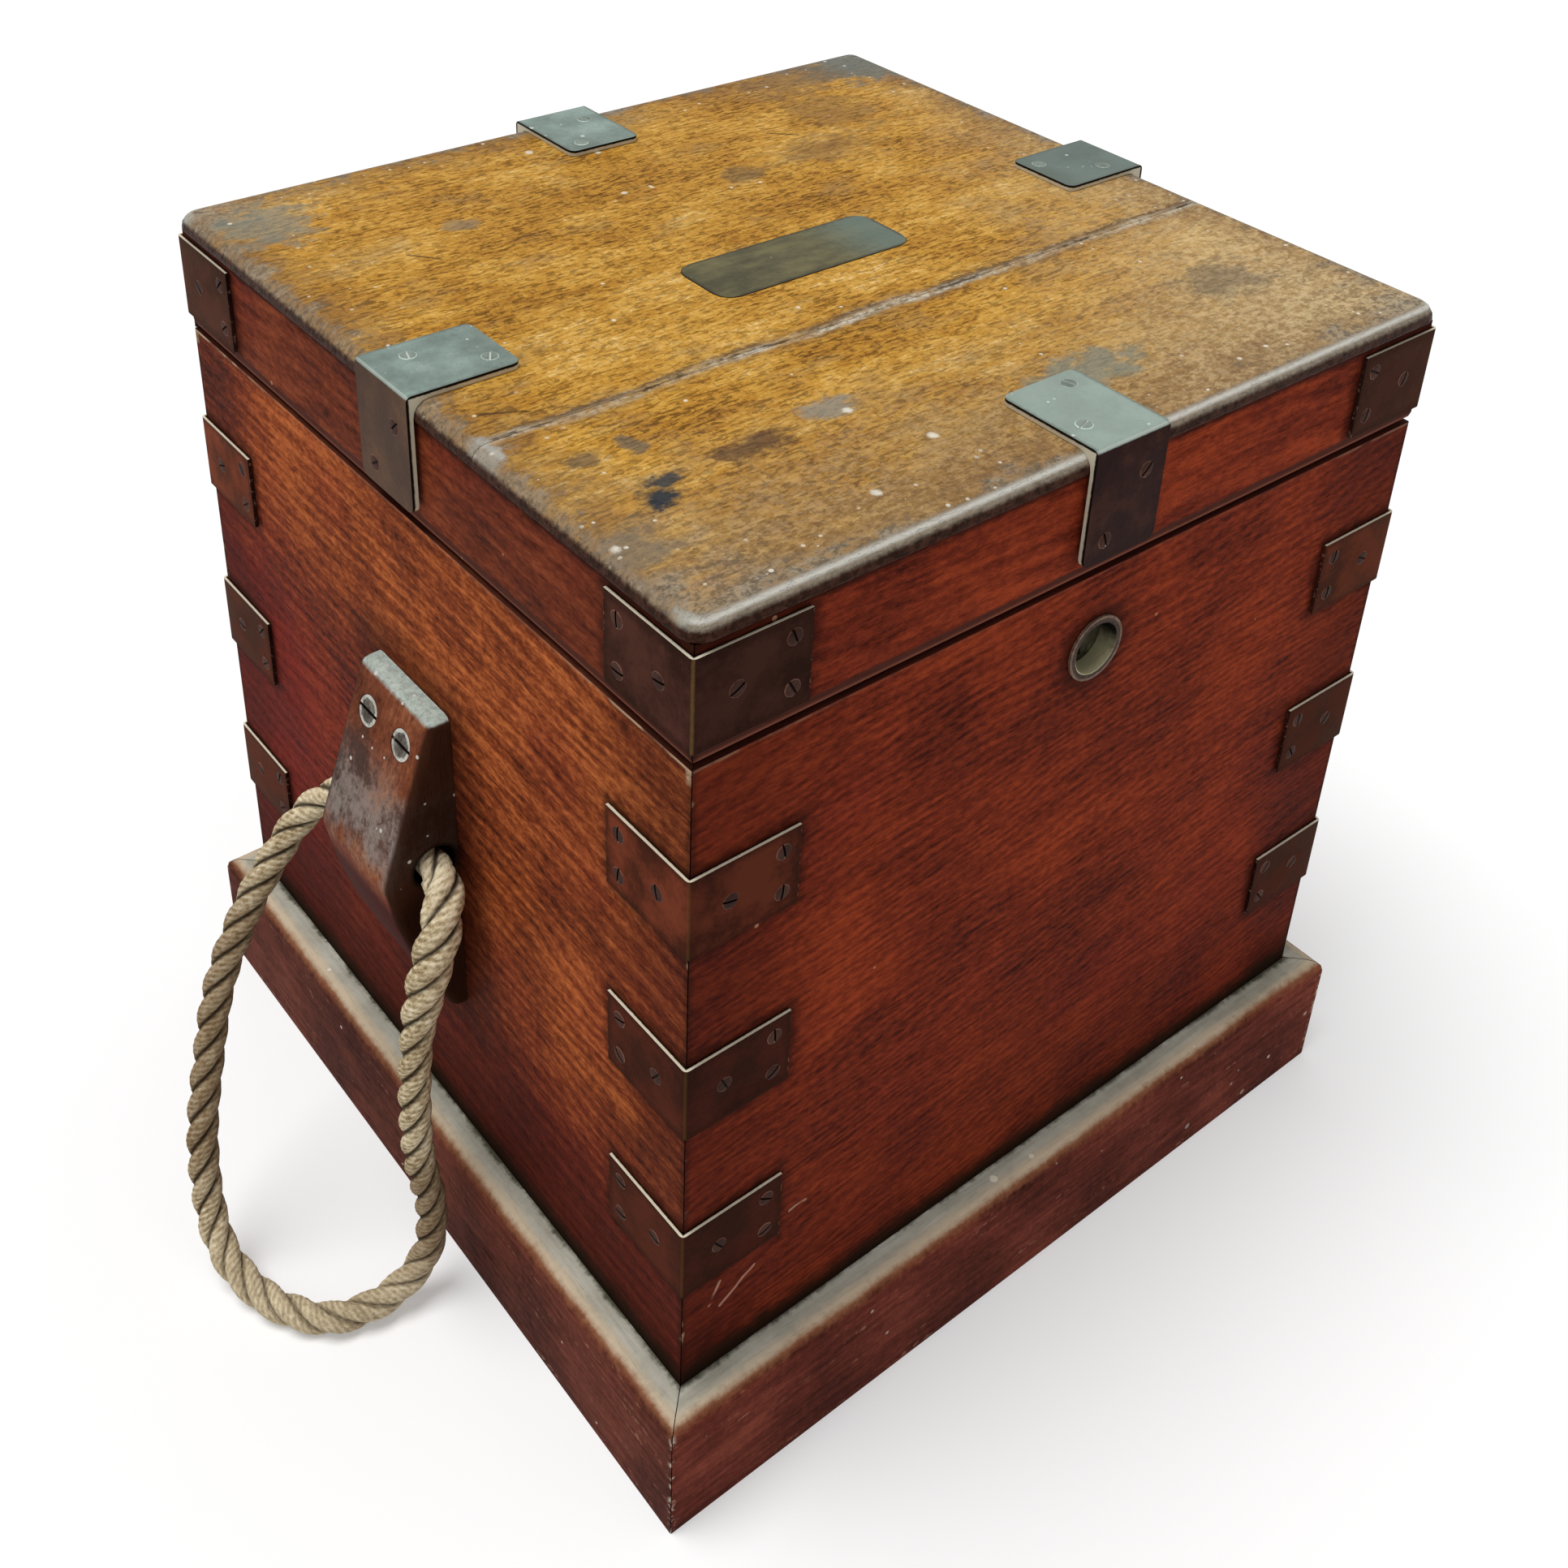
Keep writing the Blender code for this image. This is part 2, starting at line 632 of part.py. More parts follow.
def lock_cover():
    across = LOCK_WIDTH / 2
    cover = box((-across, LOCK_BACK - LOCK_PLATE, LOCK_FOOT), (across, LOCK_BACK, LOCK_HEAD))
    hole = circle((0, KEY_HEIGHT), KEY_PIN_RADIUS + GAP, SMALL_ROUND_SIDES)
    return cut(cover, along_y(hole, LOCK_BACK - LOCK_PLATE - OVERSHOOT, LOCK_BACK + OVERSHOOT))


def key_pin():
    """The pin that a hollow key turns on, standing from the cover out through the keyhole."""
    outline = circle((0, KEY_HEIGHT), KEY_PIN_RADIUS, SMALL_ROUND_SIDES)
    return along_y(outline, LOCK_FRONT - KEY_PIN_PROUD, LOCK_BACK)


def lock_bolt():
    """The sliding bolt: a bar with two fingers that pass through the staples when it is thrown."""
    foot = BOLT_TOP - BOLT_HEIGHT
    finger_top = EYE_TOP - STAPLE_CLEARANCE
    finger_foot = EYE_FOOT + STAPLE_CLEARANCE
    tips = [middle - STAPLE_THICKNESS / 2 - FINGER_SHORT_OF_STAPLE for middle in STAPLE_MIDDLES]
    roots = [tip - BOLT_THROW + FINGER_SHORT_OF_STAPLE / 2 for tip in tips]
    start = roots[0] - FINGER_ROOT - FINGER_SHORT_OF_STAPLE
    end = start + BOLT_LENGTH
    solid = box((start, LOCK_CAVITY_FRONT + GAP, foot), (end, LOCK_CAVITY_BACK - GAP, BOLT_TOP))
    front, back = LOCK_MIDDLE - FINGER_THICKNESS / 2, LOCK_MIDDLE + FINGER_THICKNESS / 2
    for tip, root in zip(tips, roots):
        hook = [
            (root - FINGER_ROOT, BOLT_TOP - BOLT_HEIGHT / 2),
            (root, BOLT_TOP - BOLT_HEIGHT / 2),
            (root, finger_foot),
            (tip, finger_foot),
            (tip, finger_top),
            (root - FINGER_ROOT, finger_top),
        ]
        solid = joined(solid, along_y(hook, front, back))
    return solid


def lock_spring():
    """A leaf spring on the bolt that bears on the top of the case and holds the bolt where it is left."""
    start = STAPLE_MIDDLES[0] + STAPLE_THICKNESS / 2 + FINGER_SHORT_OF_STAPLE
    low = BOLT_TOP + GAP
    rise = LOCK_HEAD - LOCK_PLATE - GAP - SPRING_THICKNESS - low
    under = []
    for i in range(SPRING_SEGMENTS + 1):
        share = i / SPRING_SEGMENTS
        under.append((start + SPRING_LENGTH * share, low + rise * math.sin(share * math.pi / 2) ** 2))
    over = [(x, z + SPRING_THICKNESS) for x, z in reversed(under)]
    return along_y(under + over, LOCK_MIDDLE - SPRING_WIDTH / 2, LOCK_MIDDLE + SPRING_WIDTH / 2)


def link_pocket():
    across, deep = LINK_LENGTH / 2 + GAP, LINK_WIDTH / 2 + GAP
    low = (-across, LOCK_MIDDLE - deep, LID_FOOT - OVERSHOOT)
    return box(low, (across, LOCK_MIDDLE + deep, LID_FOOT + LINK_THICKNESS + GAP))


def link_plate():
    """The plate under the lid's front rail whose two staples drop into the lock."""
    low = (-LINK_LENGTH / 2, LOCK_MIDDLE - LINK_WIDTH / 2, LID_FOOT)
    solid = box(low, (LINK_LENGTH / 2, LOCK_MIDDLE + LINK_WIDTH / 2, LID_FOOT + LINK_THICKNESS))
    front, back = LOCK_MIDDLE - STAPLE_WIDTH / 2, LOCK_MIDDLE + STAPLE_WIDTH / 2
    for middle in STAPLE_MIDDLES:
        low = (middle - STAPLE_THICKNESS / 2, front, STAPLE_FOOT)
        high = (middle + STAPLE_THICKNESS / 2, back, LID_FOOT + LINK_THICKNESS / 2)
        solid = joined(solid, box(low, high))
    eye_low = (-LINK_LENGTH / 2, front + STAPLE_WALL, EYE_FOOT)
    eyes = box(eye_low, (LINK_LENGTH / 2, back - STAPLE_WALL, EYE_TOP))
    return cut(solid, eyes)


def build_lock(brass, steel, hinge_axis):
    bolt_axis = add_axis("lock_bolt_line", (0.0, LOCK_MIDDLE, BOLT_TOP - BOLT_HEIGHT / 2))
    add_piece("escutcheon_ring", escutcheon(), brass)
    add_piece("lock_case", lock_case(), brass)
    add_piece("lock_cover", lock_cover(), brass)
    add_piece("key_pin", key_pin(), steel)
    add_piece("lock_bolt", lock_bolt(), steel, axis=bolt_axis)
    add_piece("lock_spring", lock_spring(), steel, axis=bolt_axis)
    add_piece("lid_link_plate", link_plate(), brass, axis=hinge_axis)


# Hinges


def hinge_middles():
    return (-HINGE_SPACING / 2, HINGE_SPACING / 2)


def hinge_pocket(middle, hand):
    """The bed of a hinge leaf, in the back side's frame: hand -1 is the body's rim, 1 the lid's rail."""
    across = HINGE_LENGTH / 2 + GAP
    face = BODY_HEIGHT if hand < 0 else LID_FOOT
    heights = sorted((face - hand * OVERSHOOT, face + hand * (HINGE_PLATE + GAP)))
    low = (middle - across, -HALF_DEPTH - OVERSHOOT, heights[0])
    return box(low, (middle + across, -HALF_DEPTH + HINGE_LEAF + GAP, heights[1]))


def hinge_leaf(hand):
    """One leaf about x = 0. The body's leaf (hand -1) has the outer knuckles and the stop lips."""
    axis_y, axis_z = HINGE_AXIS.y, HINGE_AXIS.z
    half = HINGE_LENGTH / 2
    inner_half = LID_KNUCKLE / 2
    knuckles = [(-inner_half, inner_half)]
    face = LID_FOOT
    if hand < 0:
        knuckles = [(-half, -inner_half - GAP), (inner_half + GAP, half)]
        face = BODY_HEIGHT
    low, high = sorted((face, face + hand * HINGE_PLATE))
    leaf = box((-half, HALF_DEPTH - HINGE_LEAF, low), (half, HALF_DEPTH, high))
    for start, end in knuckles:
        barrel = along_x(circle((axis_y, axis_z), KNUCKLE_RADIUS, ROUND_SIDES), start, end)
        tab = box((start, HALF_DEPTH - OVERSHOOT, low), (end, axis_y, high))
        leaf = joined(leaf, tab, barrel)
        if hand < 0:
            lip = box((start, axis_y, axis_z - HINGE_PLATE), (end, axis_y + STOP_REACH, axis_z + STOP_RISE))
            leaf = joined(leaf, lip)
    bore = circle((axis_y, axis_z), HINGE_PIN_RADIUS + GAP, SMALL_ROUND_SIDES)
    return cut(leaf, along_x(bore, -half - OVERSHOOT, half + OVERSHOOT))


def hinge_pin():
    half = HINGE_LENGTH / 2 + HINGE_PIN_PROUD
    outline = circle((HINGE_AXIS.y, HINGE_AXIS.z), HINGE_PIN_RADIUS, SMALL_ROUND_SIDES)
    return along_x(outline, -half, half)


def build_hinges(brass, steel, hinge_axis):
    for side, middle in zip(("left", "right"), hinge_middles()):
        place = (middle, 0.0, 0.0)
        add_piece(f"hinge_{side}_body_leaf", hinge_leaf(-1), brass, place=place)
        add_piece(f"hinge_{side}_lid_leaf", hinge_leaf(1), brass, place=place, axis=hinge_axis)
        add_piece(f"hinge_{side}_pin", hinge_pin(), steel, place=place)


# Rope beckets


def slope_angle():
    """How far the block's upper face leans out from the vertical."""
    return math.atan2(BLOCK_RIDGE_DEPTH - BLOCK_TOP_DEPTH, BLOCK_RIDGE_DROP)


def block_profile():
    """The block's side outline, (outward, height) from the body's face: a wedge, thickest at its ridge."""
    ridge = (BLOCK_RIDGE_DEPTH, BLOCK_TOP - BLOCK_RIDGE_DROP)
    upper = math.degrees(slope_angle())
    fall = ridge[1] - BLOCK_FOOT
    lower = math.degrees(math.atan2(BLOCK_RIDGE_DEPTH - BLOCK_FOOT_DEPTH, fall))
    centre = (ridge[0] - BLOCK_RIDGE_ROUND, ridge[1])
    bend = arc(centre, BLOCK_RIDGE_ROUND, upper, -lower, EDGE_SEGMENTS)
    belly = []
    for i in range(1, BEND_SEGMENTS):
        share = i / BEND_SEGMENTS
        bulge = 4 * BLOCK_BELLY * share * (1 - share)
        out = bend[-1][0] + (BLOCK_FOOT_DEPTH - bend[-1][0]) * share
        belly.append((out + bulge, bend[-1][1] + (BLOCK_FOOT - bend[-1][1]) * share))
    top = [(GAP, BLOCK_TOP), (BLOCK_TOP_DEPTH, BLOCK_TOP)]
    return [*top, *bend, *belly, (BLOCK_FOOT_DEPTH, BLOCK_FOOT), (GAP, BLOCK_FOOT)]


def rope_hole(distance):
    """The cutter for the rope's hole, along the side, flared at both mouths so as not to chafe the rope."""
    half = BLOCK_WIDTH / 2
    levels = [(-half - OVERSHOOT, ROPE_HOLE_RADIUS + ROPE_HOLE_FLARE)]
    for i in range(EDGE_SEGMENTS + 1):
        share = 1 - i / EDGE_SEGMENTS
        along = half - ROPE_HOLE_FLARE_LENGTH * (1 - share)
        levels.append((-along, ROPE_HOLE_RADIUS + ROPE_HOLE_FLARE * share**2))
    levels += [(-along, radius) for along, radius in reversed(levels)]
    loops = []
    for along, radius in levels:
        ring = circle((-distance - ROPE_HOLE_DEPTH, ROPE_HOLE_HEIGHT), radius, ROUND_SIDES)
        loops.append([(along, y, z) for y, z in ring])
    return loft(*loops)


def big_screw_place(aside, distance):
    """Where a large screw's head lies on the block's upper face, its axis square to that face."""
    lean = slope_angle()
    outward = BLOCK_TOP_DEPTH + BIG_SCREW_DROP * math.tan(lean)
    place = Matrix.Translation((aside, -distance - outward, BLOCK_TOP - BIG_SCREW_DROP))
    return place @ Matrix.Rotation(math.radians(90) - lean, 4, "X")


def big_screw_levels(clearance):
    return (
        (0.0, BIG_HEAD_RADIUS + clearance),
        (-BIG_HEAD_DEPTH - clearance, BIG_SHANK_RADIUS + clearance),
        (-BIG_SCREW_LENGTH + BIG_SCREW_POINT, BIG_SHANK_RADIUS + clearance),
        (-BIG_SCREW_LENGTH - clearance, BIG_SHANK_RADIUS / 2 + clearance),
    )


def big_screw():
    """A countersunk slotted screw along -Z with its head at the origin."""
    levels = big_screw_levels(0.0)
    solid = loft(*[[(x, y, z) for x, y in circle((0, 0), r, ROUND_SIDES)] for z, r in levels])
    reach = BIG_HEAD_RADIUS + OVERSHOOT
    half = BIG_SLOT_WIDTH / 2
    return cut(solid, box((-reach, -half, -BIG_SLOT_DEPTH), (reach, half, OVERSHOOT)))


def big_screw_cutters(distance):
    """The holes of a side's two large screws."""
    (_, head), *rest = big_screw_levels(GAP)
    levels = [(2 * BIG_HEAD_DEPTH, head), (0.0, head), *rest]
    holes = []
    for aside in (-BIG_SCREW_ASIDE, BIG_SCREW_ASIDE):
        hole = loft(*[[(x, y, z) for x, y in circle((0, 0), r, ROUND_SIDES)] for z, r in levels])
        holes.append(moved(hole, big_screw_place(aside, distance)))
    return holes


def worn_block(distance):
    """The block with its outer corners worn round. Those against the body stay square."""
    outline = [(-distance - out, z) for out, z in block_profile()]
    solid = along_x(outline, -BLOCK_WIDTH / 2, BLOCK_WIDTH / 2)

    def is_worn(edge):
        outermost = min(corner.co.y for corner in edge.verts)
        return outermost < -distance - 2 * GAP and edge.calc_face_angle() > math.radians(45)

    return rounded(solid, is_worn, BLOCK_EDGE_ROUND)


def becket_block(distance):
    return cut(worn_block(distance), rope_hole(distance), *big_screw_cutters(distance))


def smooth_ring(points):
    """Points at even steps along a smooth closed curve through the points."""
    fine = []
    for i in range(len(points)):
        a, b, c, d = [Vector(points[(i + k) % len(points)]) for k in (-1, 0, 1, 2)]
        for step in range(ROUND_SIDES):
            t = step / ROUND_SIDES
            pull = (c - a) * t + (2 * a - 5 * b + 4 * c - d) * t**2 + (3 * b - a - 3 * c + d) * t**3
            fine.append(b + pull / 2)
    lengths = [(fine[(i + 1) % len(fine)] - fine[i]).length for i in range(len(fine))]
    count = round(sum(lengths) / ROPE_STEP)
    spaced, travelled, here = [], 0.0, 0
    for step in range(count):
        target = sum(lengths) * step / count
        while travelled + lengths[here] < target:
            travelled += lengths[here]
            here += 1
        share = (target - travelled) / lengths[here]
        spaced.append(fine[here].lerp(fine[(here + 1) % len(fine)], share))
    return spaced


def rope_ring(hand):
    """An endless ring of rope about the middle of its hole. hand is -1 on the left and 1 on the right."""
    ring = bpy.data.curves.new("rope", "CURVE")
    ring.dimensions = "3D"
    ring.bevel_depth = ROPE_DIAMETER / 2
    ring.bevel_resolution = ROPE_BEVEL_RESOLUTION
    points = smooth_ring(ROPE_ROUTE)
    spline = ring.splines.new("POLY")
    spline.points.add(len(points) - 1)
    for knot, (out, along, up) in zip(spline.points, points):
        knot.co = (hand * out, along, up, 1.0)
    spline.use_cyclic_u = True
    return ring


def build_beckets(dark_oak, steel, hemp):
    for side, hand in (("left", -1), ("right", 1)):
        turn, _, distance = SIDES[side]
        add_piece(f"becket_block_{side}", becket_block(distance), dark_oak, turn)
        for end, aside in (("front", BIG_SCREW_ASIDE), ("rear", -BIG_SCREW_ASIDE)):
            screw = moved(big_screw(), big_screw_place(-hand * aside, distance))
            add_piece(f"becket_screw_{side}_{end}", screw, steel, turn)
        middle = (hand * (HALF_WIDTH + ROPE_HOLE_DEPTH), 0.0, ROPE_HOLE_HEIGHT)
        axis = add_axis(f"rope_axis_{side}", middle)
        add_piece(f"rope_handle_{side}", rope_ring(hand), hemp, place=middle, axis=axis)


def main():
    clear_scene()
    oak = material("red_brown_oak", (0.16, 0.036, 0.017), 0.42)
    dark_oak = material("dark_oak", (0.10, 0.026, 0.016), 0.5)
    top_oak = material("worn_golden_oak", (0.36, 0.19, 0.055), 0.55)
    brass = material("aged_brass", (0.16, 0.15, 0.115), 0.45, 0.85)
    steel = material("worn_steel", (0.33, 0.32, 0.30), 0.4, 0.9)
    hemp = material("hemp", (0.40, 0.31, 0.18), 0.9)
    hinge_axis = add_axis("lid_hinge_line", HINGE_AXIS)
    build_carcass(oak, dark_oak)
    build_lid(oak, top_oak, brass, hinge_axis)
    build_brackets(brass, hinge_axis)
    build_straps(brass, hinge_axis)
    build_lock(brass, steel, hinge_axis)
    build_hinges(brass, steel, hinge_axis)
    build_beckets(dark_oak, steel, hemp)


main()
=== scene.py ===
"""Looks of the brass-bound military chest: worn oak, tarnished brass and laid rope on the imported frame."""

import math
import random

import bmesh
import bpy
from mathutils import Matrix, Vector


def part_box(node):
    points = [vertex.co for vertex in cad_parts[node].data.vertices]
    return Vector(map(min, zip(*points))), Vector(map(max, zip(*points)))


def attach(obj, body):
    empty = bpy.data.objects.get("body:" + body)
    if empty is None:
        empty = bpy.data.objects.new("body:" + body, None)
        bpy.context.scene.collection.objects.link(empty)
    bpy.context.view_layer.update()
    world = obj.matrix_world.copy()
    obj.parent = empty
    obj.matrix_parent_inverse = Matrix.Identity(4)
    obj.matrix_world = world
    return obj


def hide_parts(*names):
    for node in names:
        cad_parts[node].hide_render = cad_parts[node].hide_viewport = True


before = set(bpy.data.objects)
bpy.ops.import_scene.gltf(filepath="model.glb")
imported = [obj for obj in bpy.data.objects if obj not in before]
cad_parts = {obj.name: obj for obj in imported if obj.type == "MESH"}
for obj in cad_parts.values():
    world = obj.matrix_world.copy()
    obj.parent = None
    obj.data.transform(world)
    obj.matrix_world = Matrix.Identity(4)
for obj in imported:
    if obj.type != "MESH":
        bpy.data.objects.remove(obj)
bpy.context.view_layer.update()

# Camera, fitted to the photograph, whose frame is a square of this many pixels
IMAGE_SIDE = 1932
PRINCIPAL_ROW = 520
FOCAL_PIXELS = 2325.0
CAMERA_PLACE = (-0.5281, -0.6198, 0.8751)
CAMERA_AZIMUTH = -40.279
CAMERA_ELEVATION = 30.032
CAMERA_ROLL = 2.573
CLIP_START = 0.01

# Light: the world's fill, and a sun that is as wide as a soft box
FILL = 0.46
SUN_POWER = 2.2
SUN_FROM = (-0.25, 0.1, 0.96)
SUN_WIDTH = 32.0
FLOOR_SIDE = 12.0
FLOOR_GLOW = 0.26
FLOOR_COLOUR = "#fafafa"
WHITE = "#ffffff"

# Places taken from the frame
HALF_WIDTH = -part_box("left_panel")[0].x
HALF_DEPTH = -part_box("front_panel")[0].y
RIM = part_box("front_panel")[1].z
PLINTH_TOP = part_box("plinth_front")[1].z
PLINTH_OUT = -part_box("plinth_left")[0].x - HALF_WIDTH
LID_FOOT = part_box("lid_front_rail")[0].z
LID_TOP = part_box("lid_top_front_board")[1].z
LIP_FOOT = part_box("lid_front_rail")[1].z
BOARD_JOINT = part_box("lid_top_front_board")[1].y
RING_LOW, RING_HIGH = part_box("escutcheon_ring")
RING_HEIGHT = (RING_LOW.z + RING_HIGH.z) / 2
PLATE_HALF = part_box("name_plate")[1]
BLOCK_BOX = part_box("becket_block_left")
BLOCK_HALF = BLOCK_BOX[1].y
BLOCK_LOW = BLOCK_BOX[0].z
BLOCK_HIGH = BLOCK_BOX[1].z
BLOCK_RIDGE_DROP = 0.084
BLOCK_RIDGE = BLOCK_HIGH - BLOCK_RIDGE_DROP

# Sides: the turn about Z that takes the front to each
SIDES = {"front": 0.0, "right": 90.0, "back": 180.0, "left": -90.0}

# Corners: the turn that takes the front left one to each, and the signs of X and Y there
CORNERS = {
    "front_left": (0.0, -1, -1),
    "front_right": (90.0, 1, -1),
    "back_right": (180.0, 1, 1),
    "back_left": (-90.0, -1, 1),
}

# Nodes that come in sets. Each bracket is listed with its corner.
BRACKET_NAMES = ("body_bracket_{}_top", "body_bracket_{}_middle", "body_bracket_{}_bottom", "lid_bracket_{}")
BRACKETS = {name.format(corner): corner for corner in CORNERS for name in BRACKET_NAMES}
BECKET_SCREWS = [f"becket_screw_{side}_{end}" for side in ("left", "right") for end in ("front", "rear")]
BLOCKS = ("becket_block_left", "becket_block_right")
HINGE_LEAVES = [f"hinge_{side}_{leaf}" for side in ("left", "right") for leaf in ("body_leaf", "lid_leaf")]
HINGE_PINS = ("hinge_left_pin", "hinge_right_pin")
LID_BOARDS = ("lid_top_front_board", "lid_top_back_board")

# Brackets and straps
BRACKET_LEG = 0.052
BRACKET_HALF_HEIGHT = 0.02
BRACKET_PITCH = 0.1005
BRACKET_FACE = -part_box("lid_bracket_front_left")[0].x - HALF_WIDTH
LOWEST_BRACKET = 0.16
BRACKET_SCREWS = (0.0435, 0.0435, 0.018)
BRACKET_SCREW_INSET = 0.0095
STRAP_SIDE_FACE = -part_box("lid_strap_left")[0].x - HALF_WIDTH
STRAP_TOP_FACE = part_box("lid_strap_left")[1].z
STRAP_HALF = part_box("lid_strap_left")[1].y
STRAP_TOP_SCREWS = ((-0.01, 0.0135), (0.01, 0.041))
STRAP_SIDE_SCREWS = ((0.01, -0.0155), (-0.01, -0.0425))

# Screws
SCREW_RADIUS = 0.0039
SCREW_DOME = 0.00045
SCREW_DEPTH = 0.0015
SLOT_WIDTH = 0.001
SLOT_DEPTH = 0.0009
BLOCK_SCREW = Vector((0.2312, 0.015, 0.322))
BLOCK_SCREW_LEAN = (0.95, 0.311)
SCREW_SIDES = 24
SCREW_SEED = 11

# Shading
SMOOTH_UP_TO = 40.0
WELD = 1e-5

# Rope: the route is outward, along Y and up from the middle of the block's hole
ROPE_HOLE_OUT = 0.0125
ROPE_HOLE_HEIGHT = 0.261
STRANDS = 3
STRAND_RADIUS = 0.0045
STRAND_OFFSET = 0.0035
ROPE_TURNS = 14
ROPE_STEPS = 480
ROUTE_STEPS = 40
STRAND_SIDES = 12
SPLICE = Vector((0.0, -0.038, 0.235))
SPLICE_REACH = 0.055
SPLICE_SWELL = 0.28
ROPE_ROUTE = (
    (0.0, 0.0, 0.0),
    (0.0, 0.01, 0.0),
    (0.0, 0.02, 0.0),
    (0.003, 0.036, -0.002),
    (0.013, 0.05, -0.01),
    (0.0255, 0.057, -0.0235),
    (0.041, 0.058, -0.042),
    (0.058, 0.057, -0.065),
    (0.0765, 0.054, -0.099),
    (0.0895, 0.049, -0.139),
    (0.1005, 0.042, -0.179),
    (0.1055, 0.034, -0.217),
    (0.1065, 0.019, -0.241),
    (0.1015, -0.003, -0.2505),
    (0.0935, -0.022, -0.252),
    (0.0795, -0.039, -0.252),
    (0.0595, -0.047, -0.2505),
    (0.0405, -0.049, -0.244),
    (0.0275, -0.049, -0.229),
    (0.0245, -0.05, -0.198),
    (0.0295, -0.052, -0.157),
    (0.0305, -0.054, -0.117),
    (0.0275, -0.055, -0.076),
    (0.0235, -0.056, -0.053),
    (0.0175, -0.056, -0.032),
    (0.0095, -0.053, -0.0145),
    (0.0015, -0.042, -0.003),
    (0.0, -0.028, -0.0003),
    (0.0, -0.016, 0.0),
)


def paint(code):
    """A colour for a socket from its screen code, such as WHITE."""
    shares = [part / 255 for part in bytes.fromhex(code[1:])]
    return (*[((share + 0.055) / 1.055) ** 2.4 if share > 0.04 else share / 12.92 for share in shares], 1.0)


def add_object(name, data):
    made = bpy.data.objects.new(name, data)
    bpy.context.collection.objects.link(made)
    return made


def new_object(name, shape):
    mesh = bpy.data.meshes.new(name)
    shape.to_mesh(mesh)
    shape.free()
    return add_object(name, mesh)


# Camera, light and floor


def turn_about_z(degrees):
    return Matrix.Rotation(math.radians(degrees), 4, "Z")


def add_camera():
    tilt = Matrix.Rotation(math.radians(90 - CAMERA_ELEVATION), 4, "X")
    place = turn_about_z(CAMERA_AZIMUTH) @ tilt @ turn_about_z(CAMERA_ROLL)
    place.translation = CAMERA_PLACE
    lens = bpy.data.cameras.new("camera")
    lens.lens = FOCAL_PIXELS / IMAGE_SIDE * lens.sensor_width
    lens.shift_y = (PRINCIPAL_ROW - IMAGE_SIDE / 2) / IMAGE_SIDE
    lens.clip_start = CLIP_START
    camera = add_object("camera", lens)
    camera.matrix_world = place
    bpy.context.scene.camera = camera


def add_light():
    lamp = bpy.data.lights.new("soft_box", "SUN")
    lamp.energy = SUN_POWER
    lamp.angle = math.radians(SUN_WIDTH)
    sun = add_object("soft_box", lamp)
    sun.rotation_euler = Vector(SUN_FROM).to_track_quat("Z", "Y").to_euler()


def add_world():
    """A plain fill. Where the background itself shows, in view or mirrored, it is white."""
    world = bpy.data.worlds.new("studio")
    world.use_nodes = True
    tree = Tree(world.node_tree)
    fill = tree.nodes["Background"]
    fill.inputs["Color"].default_value = paint(WHITE)
    fill.inputs["Strength"].default_value = FILL
    shown = tree.node("ShaderNodeBackground", {"Color": WHITE})
    tree.show_behind(fill, shown, 1.0, "World Output")
    bpy.context.scene.world = world


def add_floor():
    shape = bmesh.new()
    bmesh.ops.create_grid(shape, x_segments=1, y_segments=1, size=FLOOR_SIDE / 2)
    floor = new_object("floor", shape)
    finish = Finish("pale_floor", FLOOR_COLOUR)
    floor.data.materials.append(finish.done(0.9, specular=0.0))
    finish.show_behind(finish.shader, finish.node("ShaderNodeEmission"), FLOOR_GLOW, "Material Output")


# Procedural finishes


class Field:
    """A number that varies over a surface. Sums and products of fields become Math nodes."""

    def __init__(self, tree, socket):
        self.tree = tree
        self.socket = socket

    def __add__(self, other):
        return combine("ADD", self, other)

    __radd__ = __add__

    def __sub__(self, other):
        return combine("SUBTRACT", self, other)

    def __rsub__(self, other):
        return combine("SUBTRACT", other, self)

    def __mul__(self, other):
        return combine("MULTIPLY", self, other)

    def __truediv__(self, other):
        return combine("DIVIDE", self, other)

    def __abs__(self):
        return combine("ABSOLUTE", self)


def combine(operation, *values):
    """A Math node on fields and numbers, at least one of them a field."""
    tree = next(value.tree for value in values if isinstance(value, Field))
    made = tree.node("ShaderNodeMath", dict(enumerate(values)), operation=operation)
    return Field(tree, made.outputs[0])


def least(first, *others):
    for other in others:
        first = combine("MINIMUM", first, other)
    return first


def most(first, *others):
    for other in others:
        first = combine("MAXIMUM", first, other)
    return first


def length(first, second):
    return combine("SQRT", first * first + second * second)


def step(value, low, high):
    """0 at low and 1 at high, smooth between. low may be the larger."""
    ends = {"Value": value, "From Min": low, "From Max": high}
    made = value.tree.node("ShaderNodeMapRange", ends, interpolation_type="SMOOTHSTEP")
    return Field(value.tree, made.outputs[0])


